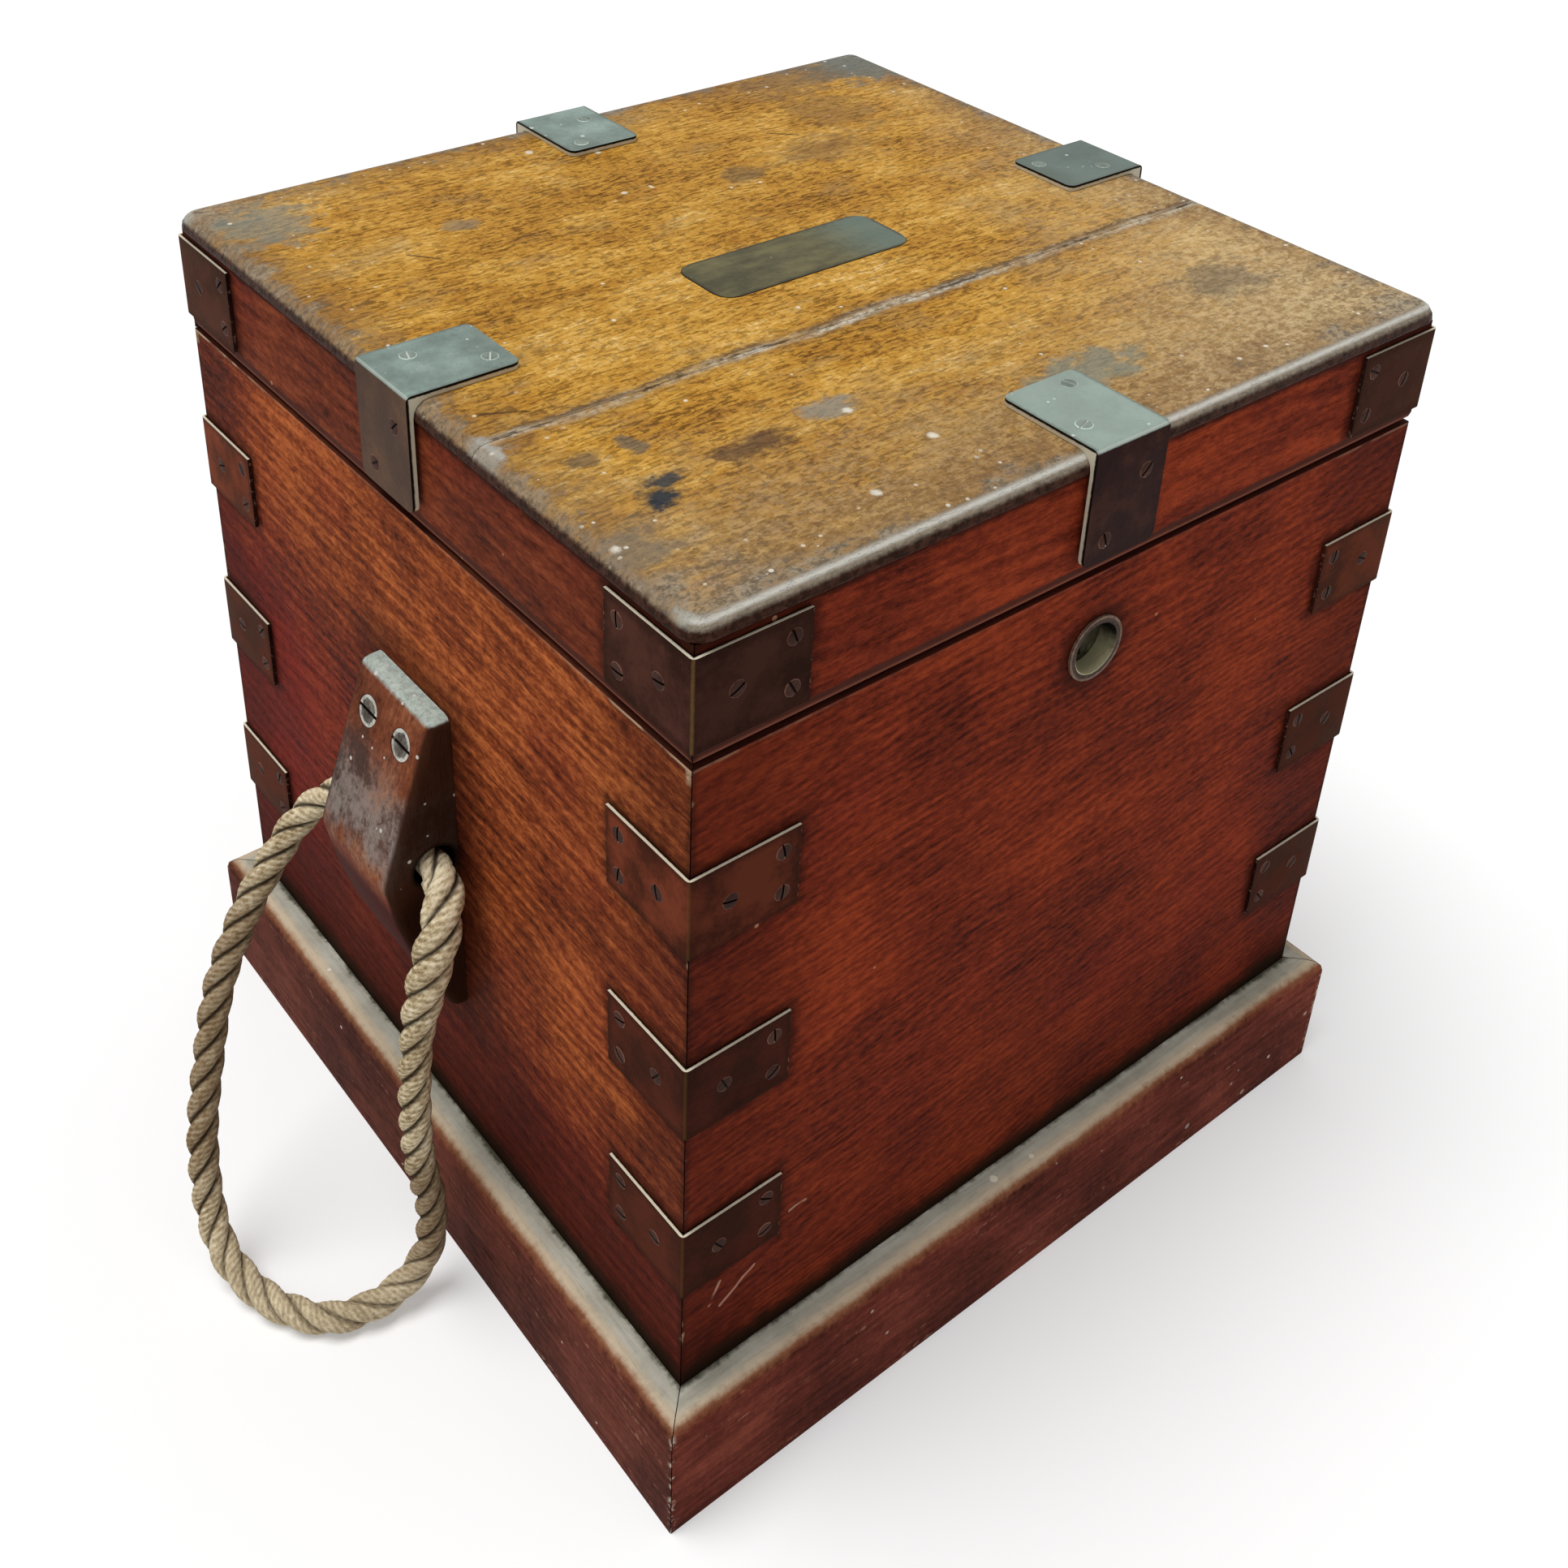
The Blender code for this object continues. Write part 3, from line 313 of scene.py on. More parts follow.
class Tree:
    """A node tree built by short calls."""

    def __init__(self, tree):
        self.nodes, self.links = tree.nodes, tree.links

    def node(self, kind, inputs=None, **settings):
        made = self.nodes.new(kind)
        for name, value in settings.items():
            setattr(made, name, value)
        for key, value in (inputs or {}).items():
            self.feed(made.inputs[key], value)
        return made

    def feed(self, socket, value):
        if isinstance(value, Field):
            value = value.socket
        if isinstance(value, bpy.types.NodeSocket):
            self.links.new(value, socket)
        elif socket.type == "RGBA":
            socket.default_value = paint(value)
        else:
            socket.default_value = value

    def show_behind(self, plain, shown, strength, output):
        """Mix a second shader in for rays that show the background: seen, mirrored or let through."""
        rays = self.node("ShaderNodeLightPath").outputs
        seen = most(*[Field(self, rays[f"Is {kind} Ray"]) for kind in ("Camera", "Glossy", "Transmission")])
        inputs = {0: seen * strength, 1: plain.outputs[0], 2: shown.outputs[0]}
        self.feed(self.nodes[output].inputs["Surface"], self.node("ShaderNodeMixShader", inputs).outputs[0])


class Finish(Tree):
    """A material. Places are in metres, and scales per metre. colour is the one built so far."""

    def __init__(self, name, colour=None):
        self.material = bpy.data.materials.new(name)
        self.material.use_nodes = True
        super().__init__(self.material.node_tree)
        self.shader = self.nodes["Principled BSDF"]
        self.colour = colour
        where = self.node("ShaderNodeTexCoord")
        self.place = where.outputs["Object"]
        self.layout = where.outputs["UV"]
        self.x, self.y, self.z = self.split(self.place)
        self.right, self.back, self.up = self.split(where.outputs["Normal"])

    def split(self, vector):
        parts = self.node("ShaderNodeSeparateXYZ", {0: vector})
        return [Field(self, part) for part in parts.outputs]

    def scaled(self, scale, seed, vector=None):
        """Where to look up a texture. scale is one whole number or three, and seed moves the place."""
        if isinstance(scale, int):
            scale = (scale, scale, scale)
        move = (seed * 1.37, seed * 2.11, seed * 3.73)
        inputs = {0: vector or self.place, 1: scale, 2: move}
        return self.node("ShaderNodeVectorMath", inputs, operation="MULTIPLY_ADD").outputs[0]

    def noise(self, scale, seed, detail=4, roughness=0.55, vector=None):
        place = self.scaled(scale, seed, vector)
        inputs = {"Vector": place, "Scale": 1.0, "Detail": detail, "Roughness": roughness}
        return Field(self, self.node("ShaderNodeTexNoise", inputs).outputs[0])

    def jitter(self, scale, seed, detail=4, roughness=0.7):
        """Noise about zero."""
        return self.noise(scale, seed, detail, roughness) - 0.5

    def specks(self, scale, share, size, seed):
        """Spots in a share of the cells of a scattered grid, each of its own size."""
        cells = self.node("ShaderNodeTexVoronoi", {"Vector": self.scaled(scale, seed), "Scale": 1.0})
        luck = self.split(cells.outputs["Color"])[0]
        reach = most(luck - (1 - share), 0.0) * (size / share)
        distance = Field(self, cells.outputs["Distance"])
        return step(distance - reach, 0.0, -0.3 * size) * step(luck, 1 - share, 1 - 0.9 * share)

    def stroke(self, first, second, start, end, width):
        """1 on a straight scratch between two points of a plane, 0 beyond its width."""
        run = Vector(end) - Vector(start)
        ahead = run.normalized()
        first, second = first - start[0], second - start[1]
        along = first * ahead.x + second * ahead.y
        beyond = most(along - run.length, 0.0 - along, 0.0)
        aside = first * ahead.y - second * ahead.x
        return step(length(aside, beyond), width, 0.3 * width)

    def ramp(self, value, *stops):
        made = self.node("ShaderNodeValToRGB", {0: value})
        points = made.color_ramp.elements
        while len(points) < len(stops):
            points.new(0.5)
        for point, (place, colour) in zip(points, stops):
            point.position = place
            point.color = paint(colour)
        return made.outputs[0]

    def mix(self, share, first, second):
        made = self.node("ShaderNodeMix", {0: share, 6: first, 7: second}, data_type="RGBA")
        return made.outputs[2]

    def coat(self, share, colour):
        """Lay a colour over the one built so far, covering a share of it."""
        self.colour = self.mix(share, self.colour, colour)

    def done(self, roughness, height=None, depth=0.0, metallic=0.0, specular=0.5, tint=(1.0, 1.0, 1.0)):
        """The material, with a bump of the depth given where height goes from 0 to 1. tint is linear."""
        inputs = {"Base Color": self.colour, "Roughness": roughness, "Metallic": metallic}
        inputs["Specular IOR Level"] = specular
        if height is not None:
            bump = self.node("ShaderNodeBump", {"Height": height, "Distance": depth, "Strength": 1.0})
            inputs["Normal"] = bump.outputs[0]
        for name, value in inputs.items():
            self.feed(self.shader.inputs[name], value)
        self.shader.inputs["Specular Tint"].default_value = (*tint, 1.0)
        return self.material


# Where things are on the chest, for dirt, worn marks and painted shade


def along_grain(axis, long, cross):
    """Noise scales for a board with its grain along axis 0, 1 or 2."""
    scale = [cross, cross, cross]
    scale[axis] = long
    return scale


def from_corner(f):
    """Distance along a face from the chest's nearest upright corner."""
    return most(HALF_WIDTH - abs(f.x), HALF_DEPTH - abs(f.y))


def from_bracket_middle(f):
    """Height above or below the middle of the nearest corner bracket. They are evenly spaced."""
    height = combine("PINGPONG", f.z - LOWEST_BRACKET, BRACKET_PITCH)
    return least(abs(height), BRACKET_PITCH - height)


def from_bracket(f):
    """Distance along a face from the nearest corner bracket."""
    beyond_leg = most(from_corner(f) - BRACKET_LEG, 0.0)
    return length(beyond_leg, most(from_bracket_middle(f) - BRACKET_HALF_HEIGHT, 0.0))


def from_outline(f):
    """Depth inside the chest's outline in plan, less than 0 outside it."""
    return least(HALF_WIDTH - abs(f.x), HALF_DEPTH - abs(f.y))


# Wood

# The warm tint of the shine on oiled wood, in linear shares
OIL = (1.0, 0.62, 0.42)
# The stain gives way to raw wood between these depths inside the outline
INNER_FACE = (0.0175, 0.0185)
RAW_OAK = ((0.15, "#5c3e26"), (0.5, "#86603c"), (0.85, "#a0784e"))

# Pale scratches on the front, from and to points in X and Z
FRONT_SCRATCHES = (
    ((-0.1938, 0.1138), (-0.175, 0.1262)),
    ((-0.1998, 0.1191), (-0.1943, 0.1307)),
    ((-0.1555, 0.1483), (-0.1465, 0.1478)),
)


def board_grain(f, axis, pith, tilt, ring, seed):
    """Growth rings, fibres, pores and blotches of a board, each about 0 to 1.

    pith is the tree's middle across the grain, and tilt the slope of the grain in the board.
    """
    places = [f.x, f.y, f.z]
    along = places.pop(axis)
    first, second = places
    wander = f.jitter(along_grain(axis, 4, 16), seed, detail=2, roughness=0.55)
    radius = length(first - pith[0], second - pith[1]) + along * tilt + wander * 0.045
    rings = combine("PINGPONG", radius, ring / 2) * (2 / ring)
    fibres = step(f.noise(along_grain(axis, 24, 300), seed + 1, roughness=0.62), 0.3, 0.7)
    pores = step(f.noise(along_grain(axis, 80, 760), seed + 2, detail=2), 0.57, 0.68)
    blotches = step(f.noise(15, seed + 3, detail=5, roughness=0.6), 0.3, 0.7)
    return rings, fibres, pores, blotches


def body_grime(f, axis, ragged):
    """Painted shade round the brackets and blocks, along the plinth and under the lid's lip, with some dirt,
    and darker round the keyhole.
    """
    grime_and_shade_round_parts = step(from_bracket(f) + ragged, 0.0085, 0.0) * 0.66
    if axis == 1:
        beside = most(abs(f.y) - BLOCK_HALF, 0.0)
        beyond = most(f.z - BLOCK_HIGH, BLOCK_LOW - f.z, 0.0)
        grime_and_shade_round_parts = most(grime_and_shade_round_parts, step(length(beside, beyond) + ragged * 3, 0.036, 0.0) * 0.6)
    foot = step(f.z + ragged, PLINTH_TOP + 0.019, PLINTH_TOP + 0.001) * 0.9
    lip = step(f.z + ragged * 0.3, LIP_FOOT - 0.0045, LIP_FOOT - 0.0015) * 0.75
    from_keyhole = length(f.x, f.z - RING_HEIGHT) + ragged
    keyhole = step(from_keyhole, 0.028, 0.017) * step(f.y, -HALF_DEPTH + 0.03, -HALF_DEPTH) * 0.6
    # Painted shade round the brackets and blocks, at the foot and under the lip; darker round the keyhole
    f.coat(most(grime_and_shade_round_parts, foot, lip, keyhole), "#22100c")
    # The painted shade along the foot is tinted green-black
    f.coat(foot * 0.6, "#1a180f")


def body_wear(f, axis, seed, ragged, flecks, rim_wear_and_highlight):
    """Marks of handling: rubbed corners and rim, specks and scratches. Also painted light: painted shade on
    the lid's foot, painted lighter where it faces down, a painted highlight on the rim and painted shade on
    the rim's top.
    """
    corner = from_corner(f)
    on_lid = step(f.z, RIM - 0.0004, RIM)
    on_body = 1.0 - on_lid
    # Painted shade on the lid's foot: a dark band, painted lighter where it faces down
    lid_foot_shading = step(f.z + ragged * 0.15, LID_FOOT + 0.0082, LID_FOOT + 0.0066) * on_lid
    f.coat(lid_foot_shading * 0.9, f.mix(step(f.up, -0.05, -0.5), "#3e211b", "#7e4c3c"))
    chance = f.noise((60, 60, 90), seed + 6)
    f.coat(step(corner + ragged * 0.3, 0.004, 0.0008) * 0.5, "#26110d")
    worn = step(corner + ragged * 0.5, 0.0025, 0.0) * step(chance, 0.6, 0.68) * 0.6
    # The rim is rubbed pale and is partly a painted highlight, strongest on the sides
    rim = step(f.z + ragged * 0.12, RIM - 0.002, RIM - 0.0008) * on_body * step(f.up, 0.5, 0.3)
    near = step(corner + ragged * 6, 0.1, 0.02)
    worn = most(worn, rim * (0.12 + near * 0.85 * step(chance, 0.42, 0.55)) * rim_wear_and_highlight)
    if axis == 1:
        chip = step(corner + ragged * 0.4, 0.0044, 0.0022) * on_body * (0.3 + flecks * 0.6)
        worn = most(worn, chip * step(f.z + ragged * 0.6, RIM - 0.0085, RIM - 0.0055))
    f.coat(worn, "#b69c7e")
    # Painted shade on the rim's top, in the gap under the lid
    rim_top_shade = step(f.up, 0.5, 0.8) * step(f.z, RIM - 0.0012, RIM - 0.0006) * on_body
    f.coat(rim_top_shade * 0.85, "#241811")
    f.coat(f.specks(90, 0.04, 0.14, seed) * 0.55, "#bc9270")
    on_front = step(f.y, 0.001 - HALF_DEPTH, -HALF_DEPTH) * step(chance, 0.3, 0.5) * 0.6
    for start, end in FRONT_SCRATCHES:
        f.coat(f.stroke(f.x, f.z + ragged * 0.3, start, end, 0.0012) * on_front, "#c0907a")


def red_oak(name, axis, pith, tilt, colours, seed, low_shade=0.35, rim_wear_and_highlight=0.25, redness=0.0, ring=0.0085):
    """Stained and oiled oak of the body and the lid's walls, with painted shade at the foot and by the
    corners, and a rim worn pale that is partly a painted highlight.
    """
    f = Finish(name)
    rings, fibres, pores, blotches = board_grain(f, axis, pith, tilt, ring, seed)
    flecks = step(f.noise(along_grain(axis, 190, 400), seed + 4, detail=3, roughness=0.7), 0.32, 0.68)
    tone = fibres * 0.2 + rings * 0.17 + blotches * 0.26 + flecks * 0.24 + 0.065
    f.colour = f.ramp(tone, *zip((0.18, 0.5, 0.82), colours))
    f.coat(pores * 0.24, "#2c0f0a")
    ragged = f.noise(120, seed + 5) * 0.012 - 0.006
    corner = from_corner(f)
    rear = step(f.y + ragged * 6, -0.08, 0.03) * step(f.z + ragged * 6, 0.385, 0.27)
    far = most(rear + step(f.y, 0.08, 0.18) * 0.5, step(f.z + ragged * 6, 0.23, 0.13))
    maroon = most(far * redness, step(f.noise(7, seed + 8, detail=3), 0.5, 0.68) * 0.4)
    f.coat(maroon, f.ramp(tone, (0.2, "#401310"), (0.8, "#863025")))
    # Painted shade: darker towards the foot, beside the upright corners and most at the low corners
    low = step(f.z + ragged * 4, 0.235, 0.095) * low_shade
    beside = step(corner + ragged * 3, 0.085, 0.01) * 0.48
    low_corner_shade = step(f.z + ragged * 3, 0.15, 0.085) * step(corner + ragged * 3, 0.085, 0.015)
    f.coat(most(low, beside, low_corner_shade * 0.8), "#32110d")
    body_grime(f, axis, ragged)
    body_wear(f, axis, seed, ragged, flecks, rim_wear_and_highlight)
    f.coat(step(from_outline(f), *INNER_FACE), f.ramp(tone, *RAW_OAK))
    height = fibres * 0.5 - pores * 0.8 + flecks * 0.3
    roughness = 0.5 + blotches * 0.12 + pores * 0.2
    return f.done(roughness, height, 0.0002, specular=0.012, tint=OIL)


# Smudges on the lid's top: place in X and Y, half sizes, colour and strength
SMUDGES = (
    (-0.178, -0.137, 0.01, 0.007, "#202f3a", 0.95),
    (-0.169, -0.128, 0.008, 0.005, "#26343e", 0.9),
    (-0.126, -0.127, 0.017, 0.008, "#523c30", 0.8),
    (-0.083, -0.121, 0.013, 0.008, "#888478", 0.8),
    (-0.186, -0.097, 0.009, 0.006, "#5c4e40", 0.7),
    (-0.164, -0.099, 0.005, 0.007, "#605a50", 0.7),
    (-0.204, -0.16, 0.014, 0.014, "#766e60", 0.6),
    (-0.213, -0.072, 0.006, 0.012, "#b0b0a8", 0.8),
    (0.041, 0.094, 0.012, 0.01, "#68543a", 0.6),
    (-0.113, 0.118, 0.009, 0.007, "#807460", 0.6),
    (0.03, -0.16, 0.03, 0.014, "#747e74", 0.7),
    (0.15, -0.135, 0.026, 0.018, "#625c50", 0.55),
    (0.198, 0.192, 0.036, 0.03, "#686e68", 0.85),
    (-0.19, 0.17, 0.024, 0.024, "#767a70", 0.7),
    (0.15, 0.186, 0.036, 0.02, "#765c40", 0.55),
    (0.136, 0.14, 0.024, 0.032, "#82623a", 0.5),
    (0.098, 0.098, 0.03, 0.016, "#7a6040", 0.5),
)
# Dark scratches on the lid's top, from and to points in X and Y
LID_SCRATCHES = (
    ((-0.2, -0.045), (-0.183, -0.053)),
    ((-0.15, 0.102), (-0.14, 0.09)),
    ((0.086, 0.13), (0.099, 0.119)),
)
# Drops of white on the lid's top: place in X and Y, and radius
WHITE_DROPS = (
    (-0.211, -0.155, 0.003),
    (-0.062, -0.162, 0.0032),
    (-0.109, -0.181, 0.003),
    (-0.077, -0.127, 0.0028),
    (-0.025, 0.106, 0.0024),
    (-0.006, 0.158, 0.0026),
    (-0.036, 0.178, 0.0028),
)


def fill_joint(f, ragged, fine, grain):
    """The joint of the lid's two boards, filled with pale putty. Returns 1 where it gapes."""
    crack_line = BOARD_JOINT + f.jitter((14, 0, 0), 35.0, roughness=0.55) * 0.013
    width = f.jitter(26, 47.0)
    crack = abs(f.y - crack_line) + fine * 0.006 + ragged * 0.004 + width * 0.01
    filler = step(f.noise((17, 30, 30), 36.0, roughness=0.65), 0.44, 0.6)
    f.coat(step(crack, 0.011, 0.001) * 0.42, "#7e6240")
    putty = f.mix(grain, "#8e8068", "#d2cab8")
    f.coat(step(crack, 0.005, 0.0016) * (0.36 + filler * 0.6), putty)
    shadow = step(abs(f.y - crack_line - 0.003 + fine * 0.008), 0.0022, 0.0006) * step(ragged, 0.1, -0.04)
    f.coat(shadow * 0.7, "#543e26")
    gap = step(abs(f.y - crack_line - fine * 0.004), 0.0015, 0.0004) * step(width + fine * 0.3, -0.02, 0.08)
    f.coat(gap * 0.85, "#3a2a1b")
    return gap


def spill_marks(f, fine, edge):
    """Smudges, scratches, white drops and chips on the lid's top."""
    blot = f.jitter((80, 95, 95), 48.0, roughness=0.6)
    for x, y, wide, deep, tint, strength in SMUDGES:
        spread = length((f.x - x) / wide, (f.y - y) / deep) + blot * 2.4 + fine * 0.9
        f.coat(step(spread, 1.3, 0.55) * strength, tint)
    for start, end in LID_SCRATCHES:
        f.coat(f.stroke(f.x + fine * 0.004, f.y, start, end, 0.0011) * 0.75, "#3e2c1c")
    pale = most(f.specks(120, 0.14, 0.16, 3.0), f.specks(48, 0.07, 0.1, 9.0))
    for x, y, size in WHITE_DROPS:
        pale = most(pale, step(length(f.x - x, f.y - y) + fine * 0.005, size, size * 0.3))
    chips = f.specks(210, 0.3, 0.3, 12.0) * step(edge, 0.055, 0.005)
    f.coat(most(pale, chips) * 0.8, "#e2dccc")


def roll_edge(f, fine, corner):
    """The lid's rounded edge: rubbed brown on the left and back, and a painted silver sheen with a painted
    highlight on the front and right. Returns 1 where it bends down.
    """
    bent = step(f.up + fine * 0.02, 0.995, 0.91)
    # Painted sheen on the faces towards the front and right, with a painted highlight along the middle of the
    # bend
    silver = most(step(f.back + fine * 0.4, 0.05, -0.55), step(f.right + fine * 0.4, -0.05, 0.55))
    painted_highlight = step(abs(f.up - 0.8), 0.18, 0.0)
    mottle = step(fine, -0.2, 0.2)
    roll = f.mix(painted_highlight, f.mix(mottle, "#7e7262", "#968c7c"), "#c8c5bc")
    rubbed = f.mix(mottle, "#6a543e", "#927c62")
    rubbed = f.mix(step(corner + fine * 0.03, 0.016, 0.006), rubbed, "#b8bcb4")
    f.coat(bent * (0.5 + silver * 0.45), f.mix(silver, rubbed, roll))
    return bent


def golden_oak():
    """The lid's top: bleached by use to gold, with dark pores, grey edges and spilt marks, a painted sheen on
    its rounded edge and painted shade beneath it.
    """
    f = Finish("golden_oak")
    rings, fibres, _, _ = board_grain(f, 0, (0.1, 0.3), 0.012, 0.012, 30.0)
    speckle = f.jitter((420, 620, 620), 31.0, roughness=0.75)
    streaks = step(f.noise((120, 500, 500), 38.0, detail=3, roughness=0.6), 0.38, 0.62)
    dashes = step(f.noise((170, 560, 560), 39.0, detail=2), 0.56, 0.6)
    ticks = step(f.noise((560, 150, 150), 46.0, detail=2), 0.6, 0.64)
    patches = step(f.noise((15, 26, 26), 32.0, detail=5, roughness=0.65), 0.36, 0.64)
    tone = streaks * 0.24 + fibres * 0.1 + patches * 0.34 + rings * 0.08 + speckle * 0.85 + 0.15
    golds = ((0.08, "#70481c"), (0.34, "#a6742a"), (0.56, "#bc8b37"), (0.8, "#d0a352"), (0.98, "#eace98"))
    f.colour = f.ramp(tone, *golds)
    dirt = step(f.noise((24, 40, 40), 37.0, detail=5, roughness=0.65), 0.52, 0.68)
    f.coat(dirt * 0.45, "#92744a")
    f.coat(most(dashes * 0.66, ticks * 0.4) * (1.0 - patches * 0.45), "#4a3018")
    ragged = f.jitter((34, 60, 60), 33.0, detail=5, roughness=0.65)
    fine = f.jitter((240, 300, 300), 34.0, roughness=0.75)
    grain = step(fine, -0.1, 0.1)
    front = step(f.y + ragged * 0.13, -0.085, -0.195) * 0.66
    f.coat(front, f.mix(grain, "#7a6244", "#a88e6a"))
    right = step(f.x + ragged * 0.16 - f.y * 0.5, 0.08, 0.26) * 0.65
    f.coat(right, f.mix(grain, "#a88e66", "#ceb88e"))
    depth = from_outline(f)
    edge = depth + ragged * 0.07 + fine * 0.05
    corner = length(most(0.0, HALF_WIDTH - abs(f.x)), most(0.0, HALF_DEPTH - abs(f.y)))
    f.coat(step(edge, 0.036, 0.002) * 0.55, "#7c5e3e")
    margin = step(depth + ragged * 0.02 + fine * 0.012, 0.01, 0.002) * step(f.x + f.y, 0.02, 0.1)
    f.coat(margin * 0.6, "#604834")
    grey = most(step(edge, 0.01, -0.006), step(corner + ragged * 0.13 + fine * 0.1, 0.062, -0.006))
    f.coat(grey * 0.75, f.mix(grain, "#686256", "#aaa494"))
    gap = fill_joint(f, ragged, fine, grain)
    spill_marks(f, fine, edge)
    bent = roll_edge(f, fine, corner)
    # Painted shade where the lid's edge turns under and faces down
    under = step(f.up + fine * 0.2, 0.62, 0.3)
    f.coat(under, f.mix(grain, "#2a1a14", "#442b21"))
    f.coat(step(depth, *INNER_FACE) * under, f.ramp(tone, *RAW_OAK))
    height = streaks * 0.4 + speckle * 1.2 - dashes * 0.8 - ticks * 0.4 - gap * 1.5
    roughness = 0.5 + dashes * 0.2 - bent * 0.12
    return f.done(roughness, height, 0.0003, specular=0.03, tint=OIL)


def plinth_oak(name, axis, seed, colours):
    """Dark stained oak with a top grey with dust and a painted sheen that turns beige and brown over its
    rubbed edge, and painted shade where it meets the body.
    """
    f = Finish(name)
    rings, fibres, pores, blotches = board_grain(f, axis, (0.4, 0.2), 0.02, 0.01, seed)
    fine = f.jitter(260, seed + 5)
    tone = fibres * 0.26 + rings * 0.08 + blotches * 0.36 + fine * 0.6 + 0.15
    f.colour = f.ramp(tone, *zip((0.15, 0.5, 0.85), colours))
    f.coat(pores * 0.3, "#240e0b")
    scuffs = step(f.noise(along_grain(axis, 26, 220), seed + 6), 0.62, 0.7) * step(fine, -0.02, 0.1)
    f.coat(scuffs * 0.5, "#9e7460")
    cloud = f.jitter(26, seed + 9, roughness=0.55)
    out = fine * 0.005 + cloud * 0.008 - from_outline(f)
    rubbed = step(f.up + fine * 0.6 + cloud * 0.6, 0.15, 0.75)
    f.coat(rubbed * 0.8, "#8c5e42")
    # The top's grey is dust and a painted sheen
    dust = step(f.up + fine * 0.3 + cloud * 0.3, 0.58, 0.95)
    streak = f.noise(along_grain(axis, 18, 240), seed + 4)
    greys = ((0.25, "#8c8778"), (0.5, "#a5a194"), (0.75, "#bcbaae"))
    grey = f.ramp(cloud * 0.7 + streak * 0.6 + fine * 0.2 + 0.2, *greys)
    grey = f.mix(step(out, 0.006, 0.013) * 0.75, grey, "#c4ae91")
    f.coat(dust, grey)
    # Painted shade along the crease where the top meets the body
    f.coat(step(out, 0.003, 0.0) * dust * 0.9, "#3a392c")
    chips = f.specks(80, 0.36, 0.2, seed + 7) * step(f.up, -0.2, 0.3)
    corner = step(from_corner(f) + PLINTH_OUT + fine * 0.006, 0.004, 0.001)
    marks = f.specks(70, 0.1, 0.11, seed + 8) * 0.7
    worn = most(chips * 0.85, corner * step(fine, 0.02, 0.12) * 0.6, marks)
    f.coat(worn, "#dcd4c2")
    height = fibres * 0.5 - pores * 0.7 + fine * 0.6
    return f.done(0.55 + pores * 0.2 + dust * 0.1, height, 0.0002, specular=0.015, tint=OIL)


def block_oak():
    """The becket blocks: brown above, greyed by handling and red below the ridge, with painted shade making
    the flanks and the rope's hole black, and a painted highlight on the low back arris.
    """
    f = Finish("block_oak")
    rings, fibres, pores, blotches = board_grain(f, 2, (0.5, 0.1), 0.03, 0.008, 60.0)
    fine = f.jitter(280, 61.0, roughness=0.75)
    tone = fibres * 0.18 + rings * 0.08 + blotches * 0.45 + fine * 0.7 + 0.14
    f.colour = f.ramp(tone, (0.15, "#462218"), (0.5, "#76422c"), (0.85, "#9c6646"))
    cloud = f.jitter((46, 46, 34), 62.0, detail=5, roughness=0.65)
    middle = step(abs(f.z - BLOCK_RIDGE - 0.025 + cloud * 0.07) + fine * 0.02, 0.034, 0.004)
    f.coat(middle * 0.85, f.mix(step(cloud + fine * 0.5, -0.12, 0.12), "#423734", "#827a74"))
    f.coat(pores * 0.3, "#281612")
    ridge = step(f.z + fine * 0.02 + cloud * 0.02, BLOCK_RIDGE + 0.006, BLOCK_RIDGE - 0.01)
    f.coat(ridge * 0.7, "#682e21")
    low = step(f.z + fine * 0.01, BLOCK_RIDGE - 0.005, BLOCK_RIDGE - 0.021)
    f.coat(low * 0.95, "#3e120e")
    # Painted shade: the flanks are near black
    black = step(abs(f.back) + fine * 0.3 + cloud * 0.3, 0.12, 0.62)
    f.coat(black * 0.92, "#2e1a11")
    # Painted highlight along the low back arris
    inset = BLOCK_HALF - f.y
    arris = step(inset - fine * 0.004, 0.004, 0.002) * step(inset, 0.0, 0.001) * low
    f.coat(arris * 0.6, "#965c54")
    # Painted shade inside the mouth of the rope's hole
    mouth = length(abs(f.x) - HALF_WIDTH - ROPE_HOLE_OUT, f.z - ROPE_HOLE_HEIGHT)
    f.coat(step(mouth, 0.0135, 0.0113) * step(abs(f.y), BLOCK_HALF + 0.001, BLOCK_HALF - 0.0005), "#140b08")
    dust = step(f.up + fine * 0.12, 0.5, 0.8) * step(f.z, BLOCK_HIGH - 0.016, BLOCK_HIGH - 0.006)
    f.coat(dust, f.mix(step(fine, -0.15, 0.15), "#949d95", "#b4bdb4"))
    flecks = f.specks(200, 0.26, 0.28, 8.0) * step(f.z, BLOCK_RIDGE - 0.017, BLOCK_RIDGE + 0.013)
    f.coat(flecks * 0.85, "#cecac2")
    height = fibres * 0.5 - pores * 0.8 + fine * 0.8
    return f.done(0.55, height, 0.0002, specular=0.01, tint=OIL)


# Metal


def tarnish(f, fine_scale, stain_scale, seed, rag=0.2, reach=0.2, **settings):
    """Fine noise about zero, and stains of 0 to 1 whose outlines it makes ragged."""
    fine = f.jitter(fine_scale, seed)
    return fine, step(f.noise(stain_scale, seed + 1, **settings) + fine * rag, 0.5 - reach, 0.5 + reach)


